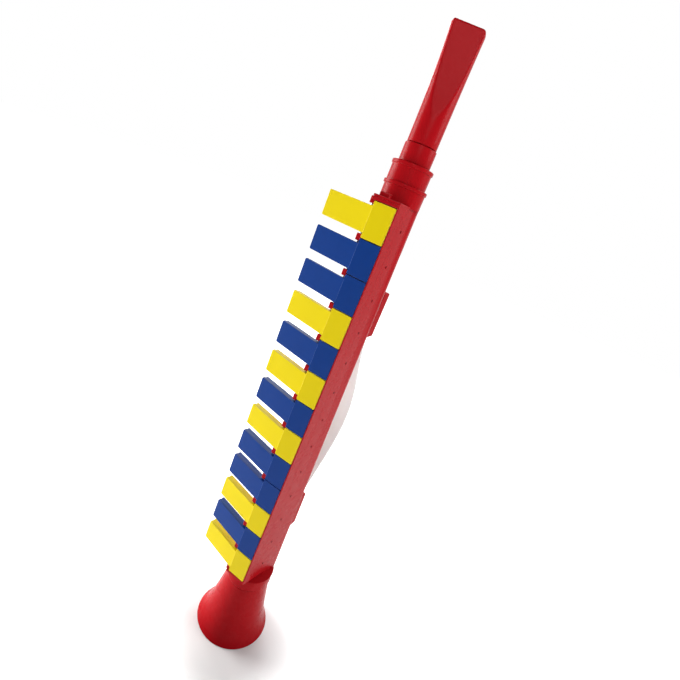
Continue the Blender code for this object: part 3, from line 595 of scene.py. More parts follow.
def drawn_metal():
    """Drawn or rolled metal: fine lines along its length, patches of dull film."""
    name = "drawn metal"
    if name in bpy.data.node_groups:
        return bpy.data.node_groups[name]
    tree, given = skin_group(name, {"Colour": (0.6, 0.6, 0.6, 1), "Roughness": 0.3})
    where = object_place(tree)
    lines = noise(tree, mapped(tree, where, Scale=(1.0, 1.0, 0.03)), 4000.0, 2.0)
    film = noise(tree, where, 160.0, 4.0)
    tint = toned(tree, given["Colour"], Value=ranged(tree, film, (0.3, 0.7), (0.8, 1.08)))
    uneven = ranged(tree, lines, (0.3, 0.7), (-0.06, 0.10))
    rough = reckoned(tree, "ADD", given["Roughness"], uneven)
    add_node(tree, "NodeGroupOutput", {"Colour": tint, "Roughness": rough, "Height": lines})
    return tree


def new_material(name):
    """A new material, its node tree and its shader."""
    material = bpy.data.materials.new(name)
    material.use_nodes = True
    tree = material.node_tree
    return material, tree, tree.nodes["Principled BSDF"]


def finish(name, group, values, bump, **constants):
    """A material whose shader takes colour, gloss and relief from a group."""
    if name in bpy.data.materials:
        return bpy.data.materials[name]
    material, tree, shader = new_material(name)
    skin = add_node(tree, "ShaderNodeGroup", values, node_tree=group).outputs
    relief = {"Strength": bump, "Distance": 0.00012, "Height": skin["Height"]}
    normal = add_node(tree, "ShaderNodeBump", relief).outputs["Normal"]
    tree.links.new(skin["Colour"], shader.inputs["Base Color"])
    tree.links.new(skin["Roughness"], shader.inputs["Roughness"])
    tree.links.new(normal, shader.inputs["Normal"])
    for label, value in constants.items():
        shader.inputs[label.replace("_", " ")].default_value = value
    return material


# The edge amount sets how far marked edges are paled, as wear and as a painted highlight.
def plastic(name, tint, drift, roughness, rubbing, bump, specular, ior=1.49, **constants):
    values = {"Colour": (*tint, 1), "Drift": drift, "Roughness": roughness, "Edge wear and sheen": rubbing}
    constants.update(IOR=ior, Specular_IOR_Level=specular)
    return finish(name, moulded_skin(), values, bump, **constants)


def metal(name, tint, roughness):
    values = {"Colour": (*tint, 1), "Roughness": roughness}
    return finish(name, drawn_metal(), values, bump=0.15, Metallic=1.0)


def red_plastic(scene):
    wear_and_sheen = {"drift": 0.05, "roughness": 0.27, "rubbing": 0.22}
    return plastic("red moulded plastic", scene.horn_body.red, bump=0.03, specular=0.05, **wear_and_sheen)


def shaded_lug_red(scene):
    # Painted shade: the lugs take a darker copy of the body's red.
    shade = [0.92 * part for part in scene.horn_body.red]
    wear_and_sheen = {"drift": 0.06, "roughness": 0.42, "rubbing": 0.05}
    return plastic("red lug plastic", shade, bump=0.03, specular=0.012, **wear_and_sheen)


def dark_red(scene):
    shade = [0.22 * part for part in scene.horn_body.red]
    wear_and_sheen = {"drift": 0.2, "roughness": 0.60, "rubbing": 0.1}
    return plastic("red pin ends", shade, bump=0.1, specular=0.0, **wear_and_sheen)


def yellow_plastic(scene):
    wear_and_sheen = {"drift": 0.08, "roughness": 0.30, "rubbing": 0.22}
    yellow = scene.horn_keys.yellow
    return plastic("yellow moulded plastic", yellow, bump=0.04, specular=0.08, **wear_and_sheen)


def blue_plastic(scene):
    wear_and_sheen = {"drift": 0.14, "roughness": 0.30, "rubbing": 0.40}
    return plastic("blue moulded plastic", scene.horn_keys.blue, bump=0.04, specular=0.08, **wear_and_sheen)


def ivory_plastic(scene):
    return plastic(
        "ivory soft plastic",
        scene.horn_strap.ivory,
        drift=0.05,
        roughness=0.42,
        rubbing=0.10,
        bump=0.25,
        specular=0.3,
        ior=1.46,
        Subsurface_Weight=1.0,
        Subsurface_Radius=(1.0, 1.0, 1.0),
        Subsurface_Scale=0.002,
    )


def gasket_rubber():
    wear_and_sheen = {"drift": 0.3, "roughness": 0.75, "rubbing": 0.0}
    black = (0.040, 0.040, 0.045)
    return plastic("black gasket rubber", black, bump=0.5, specular=0.5, ior=1.50, **wear_and_sheen)


def spring_steel():
    return metal("drawn spring steel", (0.60, 0.60, 0.62), roughness=0.30)


def reed_brass():
    return metal("rolled reed brass", (0.72, 0.52, 0.20), roughness=0.34)


def seal_felt(scene):
    """Pressed felt: short fibres in relief, with a slight mottle."""
    name = "pressed seal felt"
    if name in bpy.data.materials:
        return bpy.data.materials[name]
    material, tree, shader = new_material(name)
    where = object_place(tree)
    fibre = noise(tree, where, 1800.0, 5.0, Distortion=1.5)
    mottle = noise(tree, where, 300.0, 3.0)
    mean = reckoned(tree, "MULTIPLY", reckoned(tree, "ADD", fibre, mottle), 0.5)
    ramp = add_node(tree, "ShaderNodeValToRGB", {"Fac": mean})
    for end, place, shade in zip(ramp.color_ramp.elements, (0.30, 0.70), (0.70, 1.15)):
        end.position = place
        end.color = (*[min(1, shade * part) for part in scene.horn_keys.felt], 1)
    relief = {"Strength": 0.6, "Distance": 0.0002, "Height": fibre}
    normal = add_node(tree, "ShaderNodeBump", relief).outputs["Normal"]
    tree.links.new(ramp.outputs["Color"], shader.inputs["Base Color"])
    tree.links.new(normal, shader.inputs["Normal"])
    shader.inputs["Roughness"].default_value = 0.95
    shader.inputs["Sheen Weight"].default_value = 0.3
    return material


def back_share(z):
    """How far down the taper a height lies, from 0 at the top to 1 at the flange's foot."""
    return (BOX_TOP - z) / (BOX_TOP - BOX_FOOT + PLAY + FOOT_FLANGE)


def back_depth(body, z):
    return body.back_top[1] + (body.back_foot[1] - body.back_top[1]) * back_share(z)


def strip_lean(body, z):
    """How far the strip's back edge stands out at a height."""
    return body.strip_lean * min(1.0, (BOX_TOP - z) / (BOX_TOP - BOX_FOOT))


def strip_face(body, y, z):
    """The strip's outside at a place between its front and its back edge."""
    share = (y + body.front) / (body.front - body.back)
    right = body.shift + body.half_width
    return right - body.strip_inset * (1 - share) + strip_lean(body, z) * share


def back_section(body, z, half_points=20):
    """The back's outer line at a height: the flat side, then the round back."""
    share = back_share(z)
    edge = -body.back + HAIR
    seam = Vector((body.half_width + strip_lean(body, z), edge))
    ridge = Vector(body.flat_top).lerp(Vector(body.flat_foot), share)
    bulge = Vector(body.bulge_top).lerp(Vector(body.bulge_foot), share)
    corner = Vector(body.back_top).lerp(Vector(body.back_foot), share)
    end = Vector((0, corner.y))
    bend = []
    for i in range(half_points):
        t = i / (half_points - 1)
        s = 1 - t
        bend.append(s**3 * ridge + 3 * s * s * t * bulge + 3 * s * t * t * corner + t**3 * end)
    left = [Vector((-point.x, point.y)) for point in reversed(bend[:-1])]
    left.append(Vector((-body.half_width, edge)))
    return [Vector((body.shift + point.x, point.y, z)) for point in [seam] + bend + left]


class HORN_OT_bell(Operator):
    """Build the flared bell with its collar"""

    bl_idname = "horn.bell"
    bl_label = "Bell"

    def execute(self, context):
        bell = context.scene.horn_bell
        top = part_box("bell")[1][2]
        collar_foot = top - bell.collar_height
        taper, shoulder = 0.0006, 0.0012
        groove_depth, groove_height = 0.0006, 0.0009
        shoulder_round, foot_round, bore_round = 0.0010, 0.0005, 0.0003
        seat = BOX_FOOT - PLAY - FOOT_FLANGE - bell.spigot_length - PLAY
        bore = bell.spigot_radius + PLAY
        count, crowding = 40, 1.6
        rim_round = 0.0008

        def outside(z):
            share = 1 - z / bell.flare_height
            lip = bell.rim_radius - bell.neck_radius - bell.cone_growth
            return bell.neck_radius + bell.cone_growth * share + lip * share**bell.lip_power

        def flare(heights, wall):
            return [(outside(z) - wall, z, rim_round if z == 0 else 0) for z in heights]

        heights = [bell.flare_height * (1 - i / count) ** crowding for i in range(count + 1)]
        profile = [
            (bell.collar_radius - taper, top, bell.edge),
            (bell.collar_radius, collar_foot + shoulder, shoulder_round),
            (bell.collar_radius, collar_foot, foot_round),
            (bell.neck_radius - groove_depth, collar_foot, FINE),
            (bell.neck_radius - groove_depth, collar_foot - groove_height, FINE),
        ]
        profile += flare(heights, 0)
        profile += flare([z for z in reversed(heights) if z < seat], bell.wall)
        profile += [(bell.neck_radius - bell.wall, seat), (bore, seat), (bore, top, bore_round)]
        shape = turned(profile, FINE, steps=ROUND)
        for vert in shape.verts:
            vert.co.x += bell.lean * vert.co.z / top
        red = red_plastic(context.scene)
        piece("flared_bell", shape, red, "horn", ["bell"], flat_faces=False)
        return {"FINISHED"}


class HORN_OT_back(Operator):
    """Build the rounded, tapered back with the spigot that carries the bell"""

    bl_idname = "horn.back"
    bl_label = "Rounded Back"

    def execute(self, context):
        body = context.scene.horn_body
        bell = context.scene.horn_bell
        red = red_plastic(context.scene)
        count, skirt = 32, 0.0018
        drop = BOX_FOOT - skirt - BOX_TOP
        rings = [back_section(body, BOX_TOP + drop * i / count) for i in range(count + 1)]
        shell = lofted(rings, round_ring=False, ends="open")
        bmesh.ops.solidify(shell, geom=shell.faces[:], thickness=body.back_wall)
        piece("tapered_back", shell, red, "horn", ["back_shell"])

        flange_top = BOX_FOOT - PLAY
        flange_foot = flange_top - FOOT_FLANGE
        spigot_foot = flange_foot - bell.spigot_length
        spigot_wall, slope_radius, slope_drop, middle_hole = 0.0020, 0.0100, 0.0017, 0.0005
        edge, corner = 0.0004, 0.0003
        bore = bell.spigot_radius - spigot_wall
        profile = [
            (middle_hole, flange_top, 0),
            (slope_radius, flange_top, 0),
            (bell.collar_radius, flange_top - slope_drop),
            (bell.collar_radius, flange_foot, corner),
            (bell.spigot_radius, flange_foot, FINE),
            (bell.spigot_radius, spigot_foot),
            (bore, spigot_foot),
            (bore, flange_foot, corner),
            (middle_hole, flange_foot, 0),
        ]
        spigot = turned(profile, edge, (bell.lean, 0), ROUND)
        piece("foot_spigot", spigot, red, "horn", flat_faces=False)
        return {"FINISHED"}


class HORN_OT_key_box(Operator):
    """Build the straight key box: strip wall, deck with tone holes, ends and hinge posts"""

    bl_idname = "horn.key_box"
    bl_label = "Key Box"

    def execute(self, context):
        body = context.scene.horn_body
        keys = context.scene.horn_keys
        red, dark = red_plastic(context.scene), dark_red(context.scene)
        hinges = [HINGES[name] - AXIS for name in KEY_NAMES]
        spare, sides = 0.04, 24
        reach = (len(hinges) - 1) * body.key_pitch + spare
        rod_hole = cylinder(keys.bore_radius, reach, sides, (hinges[0] + hinges[-1]) / 2)
        steps = [("UNION", shape) for shape in self.ends(body)]
        steps.append(("UNION", together(*self.posts(body, hinges))))
        steps.append(("DIFFERENCE", together(*self.holes(body, hinges))))
        steps.append(("DIFFERENCE", rod_hole))
        box = joined(self.section(body), *steps)
        piece("key_box", box, red, "horn", ["key_channel"])
        pins = together(*self.pins(body, hinges))
        piece("strip_pins", pins, dark, "horn", flat_faces=False)
        return {"FINISHED"}

    def section(self, body):
        """Strip wall, deck and left wall in one run, with narrow faces marked to be painted pale as
        wear and as a painted highlight.
        """
        left = body.shift - body.half_width
        inside = body.shift + body.half_width - body.wall
        under = -(body.deck - body.deck_thick)
        line, half_line, line_depth = -0.0130, 0.00018, 0.00015
        count, narrow = 28, 0.00014

        def ring(z):
            """The section at a height, with the fine groove along the strip."""
            outline = [
                (strip_face(body, -body.front, z), -body.front, body.edge),
                (strip_face(body, line, z), line - half_line),
                (strip_face(body, line, z) - line_depth, line),
                (strip_face(body, line, z), line + half_line),
                (strip_face(body, -body.back, z), -body.back),
                (inside + strip_lean(body, z), -body.back),
                (inside, under),
                (left + body.wall, under),
                (left + body.wall, -body.back),
                (left, -body.back, body.edge),
                (left, -body.deck, body.edge),
                (inside, -body.deck),
                (inside, -body.front, FINE),
            ]
            return [Vector((point.x, point.y, z)) for point in softened(outline, 0)]

        heights = [BOX_FOOT + (BOX_TOP - BOX_FOOT) * i / count for i in range(count + 1)]
        run = lofted([ring(z) for z in heights])
        edge_wear_and_sheen = run.faces.layers.float.new("edge_wear_and_sheen")
        for face in run.faces:
            face[edge_wear_and_sheen] = float(min(edge.calc_length() for edge in face.edges) < narrow)
        return run

    def ends(self, body):
        """The two end walls, set a little inside the section."""
        inset, strip_gap, rounding = 0.00006, 0.0003, 0.00025
        left = body.shift - body.half_width + inset
        front, back = -body.front + inset, -body.back - inset
        shapes = []
        for low, high in ((BOX_FOOT, BOX_FOOT + body.end_wall), (BOX_TOP - body.end_wall, BOX_TOP)):
            outline = [
                (left, front),
                (strip_face(body, -body.front, low) - strip_gap, front),
                (strip_face(body, -body.back, low) - strip_gap, back),
                (left, back),
            ]
            shapes.append(plate(outline, low + inset, high - inset, "Z", rounding))
        return shapes

    def posts(self, body, hinges):
        """The hinge posts: one between each two keys and one beyond each end key."""
        before, sunk, rounding = 0.0018, 0.0050, 0.00045
        step = Vector((0, 0, body.key_pitch / 2))
        half = body.post_width / 2
        shapes = []
        for place in [hinges[0] + step] + [hinge - step for hinge in hinges]:
            low = (place.x - body.post_half, place.y - before, place.z - half)
            high = (place.x + body.post_half, -body.deck + sunk, place.z + half)
            shapes.append(eased(block(low, high), rounding))
        return shapes

    def holes(self, body, hinges):
        """The tone holes, one in the deck behind each key."""
        half_width, half_height, before, behind = 0.0025, 0.005, 0.002, 0.004
        shapes = []
        for hinge in hinges:
            low = (body.shift - half_width, -body.deck - before, hinge.z - half_height)
            high = (body.shift + half_width, -body.deck + behind, hinge.z + half_height)
            shapes.append(block(low, high))
        return shapes

    def pins(self, body, hinges):
        """The small pin ends in a row along the strip."""
        y, radius, foot, rise, rounding = -0.0066, 0.0009, -0.0004, 0.00003, 0.0001
        dome = [(HAIR, foot), (radius, foot, 0), (radius, rise, rounding), (HAIR, 2 * rise, 0)]
        shapes = []
        for hinge in hinges:
            pin = turned(dome, 0, steps=16)
            place = Matrix.Translation((strip_face(body, y, hinge.z), y, hinge.z))
            turn = place @ Matrix.Rotation(math.pi / 2, 4, "Y")
            bmesh.ops.transform(pin, matrix=turn, verts=pin.verts)
            shapes.append(pin)
        return shapes


class HORN_OT_keys(Operator):
    """Build the thirteen rocking keys"""

    bl_idname = "horn.keys"
    bl_label = "Keys"

    def execute(self, context):
        keys = context.scene.horn_keys
        yellow = yellow_plastic(context.scene)
        blue = blue_plastic(context.scene)
        shape = self.key(keys)
        for name in KEY_NAMES:
            plain = yellow if name in YELLOW_KEYS else blue
            piece(name + "_finished", shape.copy(), plain, name, [name], place=HINGES[name])
        shape.free()
        return {"FINISHED"}

    def key(self, keys):
        """One key about its hinge."""
        lap = 0.0010  # how far the tongue runs in under the pad
        tip = keys.crease - keys.reach
        root = keys.crease + lap
        middle = keys.crease + keys.pad_length / 2
        half_length, half_pad, half_tongue = keys.pad_length / 2, keys.pad_width / 2, keys.width / 2
        slope = (keys.drop - keys.step) / keys.reach
        face = -keys.pad_face
        back = face + keys.pad_thick
        sunk = 0.0006  # where the rim and the ribs start under the tongue's face
        pad_round, tip_round, root_round = 0.0007, 0.0010, 0.0006

        def sloped(bm):
            """Leans a flat shape back along the tongue."""
            for vert in bm.verts:
                vert.co.y += face + keys.step + slope * (keys.crease - vert.co.x)
            return bm

        plan = [(middle + u * half_length, v * half_pad, pad_round) for u, v in CORNERS]
        pad = plate(plan, face, back, "Y", keys.edge)
        plan = [
            (tip, -half_tongue, tip_round),
            (root, -half_tongue, root_round),
            (root, half_tongue, root_round),
            (tip, half_tongue, tip_round),
        ]
        tongue = sloped(plate(plan, 0, keys.thick, "Y", keys.edge))

        tip_gap, tip_wall, side_gap = 0.00012, 0.0020, 0.0007
        start, hollow, end = tip + tip_gap, tip + tip_wall, tip + keys.skirt_length
        outer = half_tongue - side_gap
        inner = outer - keys.skirt_wall
        outer_round, inner_round, rim_edge = 0.0009, 0.0004, 0.00025
        rim = [
            (end, -outer),
            (start, -outer, outer_round),
            (start, outer, outer_round),
            (end, outer),
            (end, inner),
            (hollow, inner, inner_round),
            (hollow, -inner, inner_round),
            (end, -inner),
        ]
        skirt = pushed(softened(rim, 0), sunk, keys.skirt_depth, "Y")
        half_depth, near, slant = 0.0020, 0.0010, 0.0020
        for vert in skirt.verts:
            if vert.co.y > half_depth and vert.co.x > end - near:
                vert.co.x -= slant
        skirt = sloped(eased(skirt, rim_edge, 2))

        overlap, foot_gap, rib_gap = 0.0040, 0.0001, 0.00005
        rib_start, rib_end = end - overlap, -0.0005
        knee_end, knee_start, knee_round = -0.0017, -0.0022, 0.0003
        rib_foot = keys.skirt_depth - foot_gap
        rib = [
            (rib_start, sunk),
            (rib_end, sunk),
            (rib_end, keys.rib_depth),
            (knee_end, keys.rib_depth),
            (knee_start, rib_foot, knee_round),
            (rib_start, rib_foot),
        ]
        ribs, hubs = [], []
        hub_inset, hub_edge = 0.0003, 0.00025
        hub_low, hub_high = keys.hub_space / 2, half_tongue - hub_inset
        for side in (1, -1):
            low, high = sorted((side * inner, side * outer))
            ribs.append(sloped(plate(rib, low + rib_gap, high - rib_gap, "Z", FINE, 2)))
            ring = [
                (keys.bore_radius, side * hub_low),
                (keys.hub_radius, side * hub_low),
                (keys.hub_radius, side * hub_high),
                (keys.bore_radius, side * hub_high),
            ]
            hubs.append(turned(ring, hub_edge, steps=40))
        boss_x, boss_z, boss_sunk, boss_rise, boss_edge = 0.0035, 0.0060, 0.0005, 0.0012, 0.0003
        boss_low = (middle - boss_x, back - boss_sunk, -boss_z)
        boss = eased(block(boss_low, (middle + boss_x, back + boss_rise, boss_z)), boss_edge)
        through, spring_radius, spring_inset = 0.02, 0.0021, 0.001
        return joined(
            pad,
            ("UNION", tongue),
            ("UNION", skirt),
            ("UNION", together(*ribs)),
            ("UNION", boss),
            ("UNION", together(*hubs)),
            ("DIFFERENCE", cylinder(keys.bore_radius, through)),
            ("DIFFERENCE", cylinder(spring_radius, keys.hub_space - spring_inset)),
        )


class HORN_OT_seals(Operator):
    """Build the soft pads that close the tone holes"""

    bl_idname = "horn.seals"
    bl_label = "Soft Pads"

    def execute(self, context):
        keys = context.scene.horn_keys
        felt = seal_felt(context.scene)
        middle = keys.crease + keys.pad_length / 2
        half_length, half_width, corner, rounding = 0.0045, 0.0070, 0.0020, 0.00045
        inset, swell, crown = 0.0012, 0.00012, 0.00006
        facing, many = 0.9, 8  # what tells a pad's two large faces from the rest
        plan = [(middle + half_length * u, half_width * v, corner) for u, v in CORNERS]
        for name in KEY_NAMES:
            node = "seal_pad_" + name[-2:]
            low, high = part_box(node)
            hinge = HINGES[name]
            pad = plate(plan, low[1] - hinge.y, high[1] - hinge.y, "Y", rounding, 4, 8)
            for side in (-1, 1):
                flat = [f for f in pad.faces if f.normal.y * side > facing and len(f.verts) > many]
                bmesh.ops.inset_region(pad, faces=flat, thickness=inset, use_even_offset=True)
                bmesh.ops.translate(pad, verts=flat[0].verts, vec=(0, side * swell, 0))
                bmesh.ops.poke(pad, faces=flat, offset=crown)
            soft = "soft_" + node
            obj = piece(soft, pad, felt, name, [node], hinge, flat_faces=False)
        return {"FINISHED"}


class HORN_OT_springs(Operator):
    """Build the hinge rod and the small wound springs on it"""

    bl_idname = "horn.springs"
    bl_label = "Rod and Springs"

    def execute(self, context):
        keys = context.scene.horn_keys
        steel = spring_steel()
        low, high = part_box("hinge_rod")
        first = HINGES[KEY_NAMES[0]]
        place = Vector((first.x, first.y, 0))
        rod = turned(plug(keys.rod_radius, low[2], high[2]), FINE, steps=32)
        nodes = ["hinge_rod"]
        piece("round_rod", rod, steel, "horn", nodes, place, flat_faces=False)
        path = self.path(keys)
        for name in KEY_NAMES:
            node = "key_spring_" + name[-2:]
            coil = lofted(wire_rings(path, keys.wire / 2))
            hinge = HINGES[name]
            wound = "wound_" + node
            obj = piece(wound, coil, steel, None, [node], hinge, flat_faces=False)
            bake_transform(obj)
        return {"FINISHED"}

    def path(self, keys):
        """The wire's line: tail in the box, one and three quarter loops, arm under the tongue."""
        room, pitch = 0.00035, 0.0012
        tail, lift = 0.0060, 0.00035
        radius = keys.rod_radius + room + keys.wire / 2
        first, last = math.pi, math.pi / 2 + 4 * math.pi
        rise = pitch * (last - first) / (2 * math.pi)
        tail_count, count, arm_count = 6, 48, 8
        points = []
        for i in range(tail_count):
            points.append(Vector((-radius, tail - tail * i / tail_count, -rise / 2)))
        for i in range(count + 1):
            turn = first + (last - first) * i / count
            x, y = radius * math.cos(turn), radius * math.sin(turn)
            points.append(Vector((x, y, rise * (i / count - 0.5))))
        for i in range(1, arm_count + 1):
            x, y = -SPRING_ARM * i / arm_count, radius + lift * i / arm_count
            points.append(Vector((x, y, rise / 2)))
        return points


class HORN_OT_reeds(Operator):
    """Give the reed plate and its gasket their finish"""

    bl_idname = "horn.reeds"
    bl_label = "Reed Plate and Gasket"

    def execute(self, context):
        for node, material in (("reed_plate", reed_brass()), ("reed_gasket", gasket_rubber())):
            for holder in frame["nodes"][node].material_slots:
                holder.material = material
        return {"FINISHED"}


class HORN_OT_socket(Operator):
    """Build the cap and the flanged socket for the mouthpiece, and its ferrule"""

    bl_idname = "horn.socket"
    bl_label = "Socket and Ferrule"

    def execute(self, context):
        body = context.scene.horn_body
        mouth = context.scene.horn_mouth
        red = red_plastic(context.scene)
        foot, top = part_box("mouth_socket")[0][2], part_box("mouth_socket")[1][2]
        cap_top = foot + mouth.cap
        centre = (mouth.shift, 0)
        neck, overlap, beyond, fillet = 0.0090, 0.0002, 0.002, 0.0003
        neck_foot = top - 2 * mouth.flange - neck
        sunk = neck_foot + mouth.flange / 2
        root_foot = foot + mouth.cap / 2
        profile = [
            (HAIR, top, 0),
            (mouth.flange_radius, top),
            (mouth.flange_radius, top - mouth.flange),
            (mouth.sleeve_radius, top - mouth.flange, fillet),
            (mouth.sleeve_radius, sunk, 0),
            (HAIR, sunk, 0),
        ]
        tube = turned(profile, mouth.edge, centre, ROUND)
        profile = plug(mouth.low_flange_radius, neck_foot + mouth.flange, neck_foot)
        low_flange = turned(profile, mouth.edge, (mouth.shift + mouth.low_flange_shift, 0), ROUND)
        profile = plug(mouth.root_radius, sunk - overlap, root_foot, 0)
        root = turned(profile, 0, (mouth.shift + mouth.root_shift, 0), ROUND)
        left = body.shift + mouth.tab_shift - mouth.tab_width / 2
        right = body.shift + mouth.tab_shift + mouth.tab_width / 2
        inset, depth, tab_edge = 0.0036, 0.0030, 0.0006
        front = -body.front + inset
        tab = block((left, front, root_foot), (right, front + depth, cap_top + mouth.tab_height))
        middle = (*centre, (foot + top) / 2)
        bore = cylinder(mouth.ferrule_tenon + PLAY, top - foot + beyond, ROUND, middle)
        steps = [("UNION", shape) for shape in (root, low_flange, tube, eased(tab, tab_edge, 4))]
        socket = joined(self.cap(body, cap_top), *steps, ("DIFFERENCE", bore))
        piece("socket_and_cap", socket, red, "horn", ["mouth_socket"])

        low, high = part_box("ferrule")
        step, wall = top + PLAY, 0.0016
        bore_radius = mouth.ferrule_tenon - wall
        profile = [
            (mouth.ferrule_radius, high[2]),
            (mouth.ferrule_radius, step),
            (mouth.ferrule_tenon, step, FINE),
            (mouth.ferrule_tenon, low[2]),
            (bore_radius, low[2]),
            (bore_radius, high[2]),
        ]
        sleeve = turned(profile, mouth.edge, centre, ROUND)
        piece("round_ferrule", sleeve, red, "horn", ["ferrule"], flat_faces=False)
        return {"FINISHED"}

    def cap(self, body, top):
        """The flat cap on the body, rounded along its upper edge."""
        left_round, right_round, rounding, near = 0.0008, 0.0005, 0.0004, 1e-5
        outline = [
            (body.shift - body.half_width, -body.front, left_round),
            (strip_face(body, -body.front, BOX_TOP), -body.front, right_round),
        ]
        outline += [(p.x, p.y, 0) for p in back_section(body, BOX_TOP)]
        shape = pushed(softened(outline, 0), BOX_TOP + HAIR, top, "Z")
        return eased(shape, rounding, 4, lambda e: all(v.co.z > top - near for v in e.verts))


class HORN_OT_mouthpiece(Operator):
    """Build the mouthpiece with its two flats and the slot in its lip"""

    bl_idname = "horn.mouthpiece"
    bl_label = "Mouthpiece"

    def execute(self, context):
        mouth = context.scene.horn_mouth
        tenon_foot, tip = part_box("mouthpiece")[0][2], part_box("mouthpiece")[1][2]
        foot = HINGES["mouthpiece"].z
        flats = foot + mouth.round_part
        sides, levels, bends, tip_bends = 120, 48, 4, 6
        turns = [2 * math.pi * i / sides for i in range(sides)]
        tenon_edge, foot_edge, tip_edge = 0.0003, 0.0005, 0.0012

        def circle(radius, z):
            return [Vector((radius * math.cos(a), radius * math.sin(a), z)) for a in turns]

        def lip(z, inset=0.0):
            """The outside at a height: a round bar with two flats, its tip's corners rounded."""
            keep = 5000.0  # how tightly a flat bends into the round
            near = 0.0005  # the round stays as it is this close to the sides
            late = 8  # the corners' drop starts only close to the tip
            share = (z - flats) / (tip - flats)
            width = mouth.radius + (mouth.lip_width - mouth.radius) * share**2 - inset
            thinned = 1 - (1 - share) ** 2
            thick = mouth.radius + (mouth.lip_thick - mouth.radius) * thinned - inset
            ring = []
            for a in turns:
                x = width * math.cos(a)
                y = (mouth.radius - inset) * math.sin(a)
                soft = -math.log(math.exp(-keep * abs(y)) + math.exp(-keep * thick)) / keep
                soft = max(0.0, soft) if abs(y) > near else abs(y)
                reach = mouth.right_round if x > 0 else mouth.left_round
                over = max(0.0, abs(x) - (mouth.lip_width - reach)) / reach
                drop = reach * (1 - math.sqrt(max(0.0, 1 - min(over, 1.0) ** 2)))
                beside = mouth.lip_lean * max(0.0, share) ** 2
                height = z - drop * max(0.0, share) ** late
                ring.append(Vector((x + beside, math.copysign(soft, y), height)))
            return ring

        def slot(z):
            """The airway at a height, from round below to a flat slot at the tip."""
            ease, squareness = 1.2, 2 / 3
            share = max(0.0, (z - flats) / (tip - flats)) ** ease
            ring = []
            for a in turns:
                c, s = math.cos(a), math.sin(a)
                x = mouth.slot_width * math.copysign(abs(c) ** squareness, c)
                y = mouth.slot_thick * math.copysign(abs(s) ** squareness, s)
                x = mouth.airway * c + (x - mouth.airway * c) * share
                y = mouth.airway * s + (y - mouth.airway * s) * share
                ring.append(Vector((x + mouth.lip_lean * share, y, z)))
            return ring

        rings = [circle(mouth.tenon - tenon_edge, tenon_foot)]
        rings += [circle(mouth.tenon, z) for z in (tenon_foot + tenon_edge, foot)]
        for step in range(bends + 1):
            turn = math.pi / 2 * step / bends
            radius = mouth.radius - foot_edge * (1 - math.sin(turn))
            rings.append(circle(radius, foot + foot_edge * (1 - math.cos(turn))))
        short = 0.0006  # the plain rings end a little below the flats
        plain = mouth.round_part - short
        heights = [foot + foot_edge + plain * i / bends for i in range(1, bends + 1)]
        rings += [circle(mouth.radius, z) for z in heights]
        rise = tip - tip_edge - flats
        rings += [lip(flats + rise * i / levels) for i in range(1, levels + 1)]
        for step in range(1, tip_bends + 1):
            turn = math.pi / 2 * step / tip_bends
            z = tip - tip_edge + tip_edge * math.sin(turn)
            rings.append(lip(z, inset=tip_edge * (1 - math.cos(turn))))
        mouth_top = tip + 0.0002
        depths = (0.0004, 0.0010, 0.0040, 0.0100, 0.0200, 0.0300)
        rings += [slot(mouth_top - depth) for depth in depths]
        rings += [circle(mouth.airway, flats), circle(mouth.airway, tenon_foot)]
        shape = lofted(rings, ends="bridge")
        turn = Matrix.Rotation(mouth.turn, 3, "Z")
        bmesh.ops.rotate(shape, cent=(0, 0, 0), matrix=turn, verts=shape.verts)
        place = AXIS + Vector((mouth.shift, 0, 0))
        red = red_plastic(context.scene)
        nodes = ["mouthpiece"]
        piece("lip_mouthpiece", shape, red, "mouthpiece", nodes, place, 50, False)
        return {"FINISHED"}


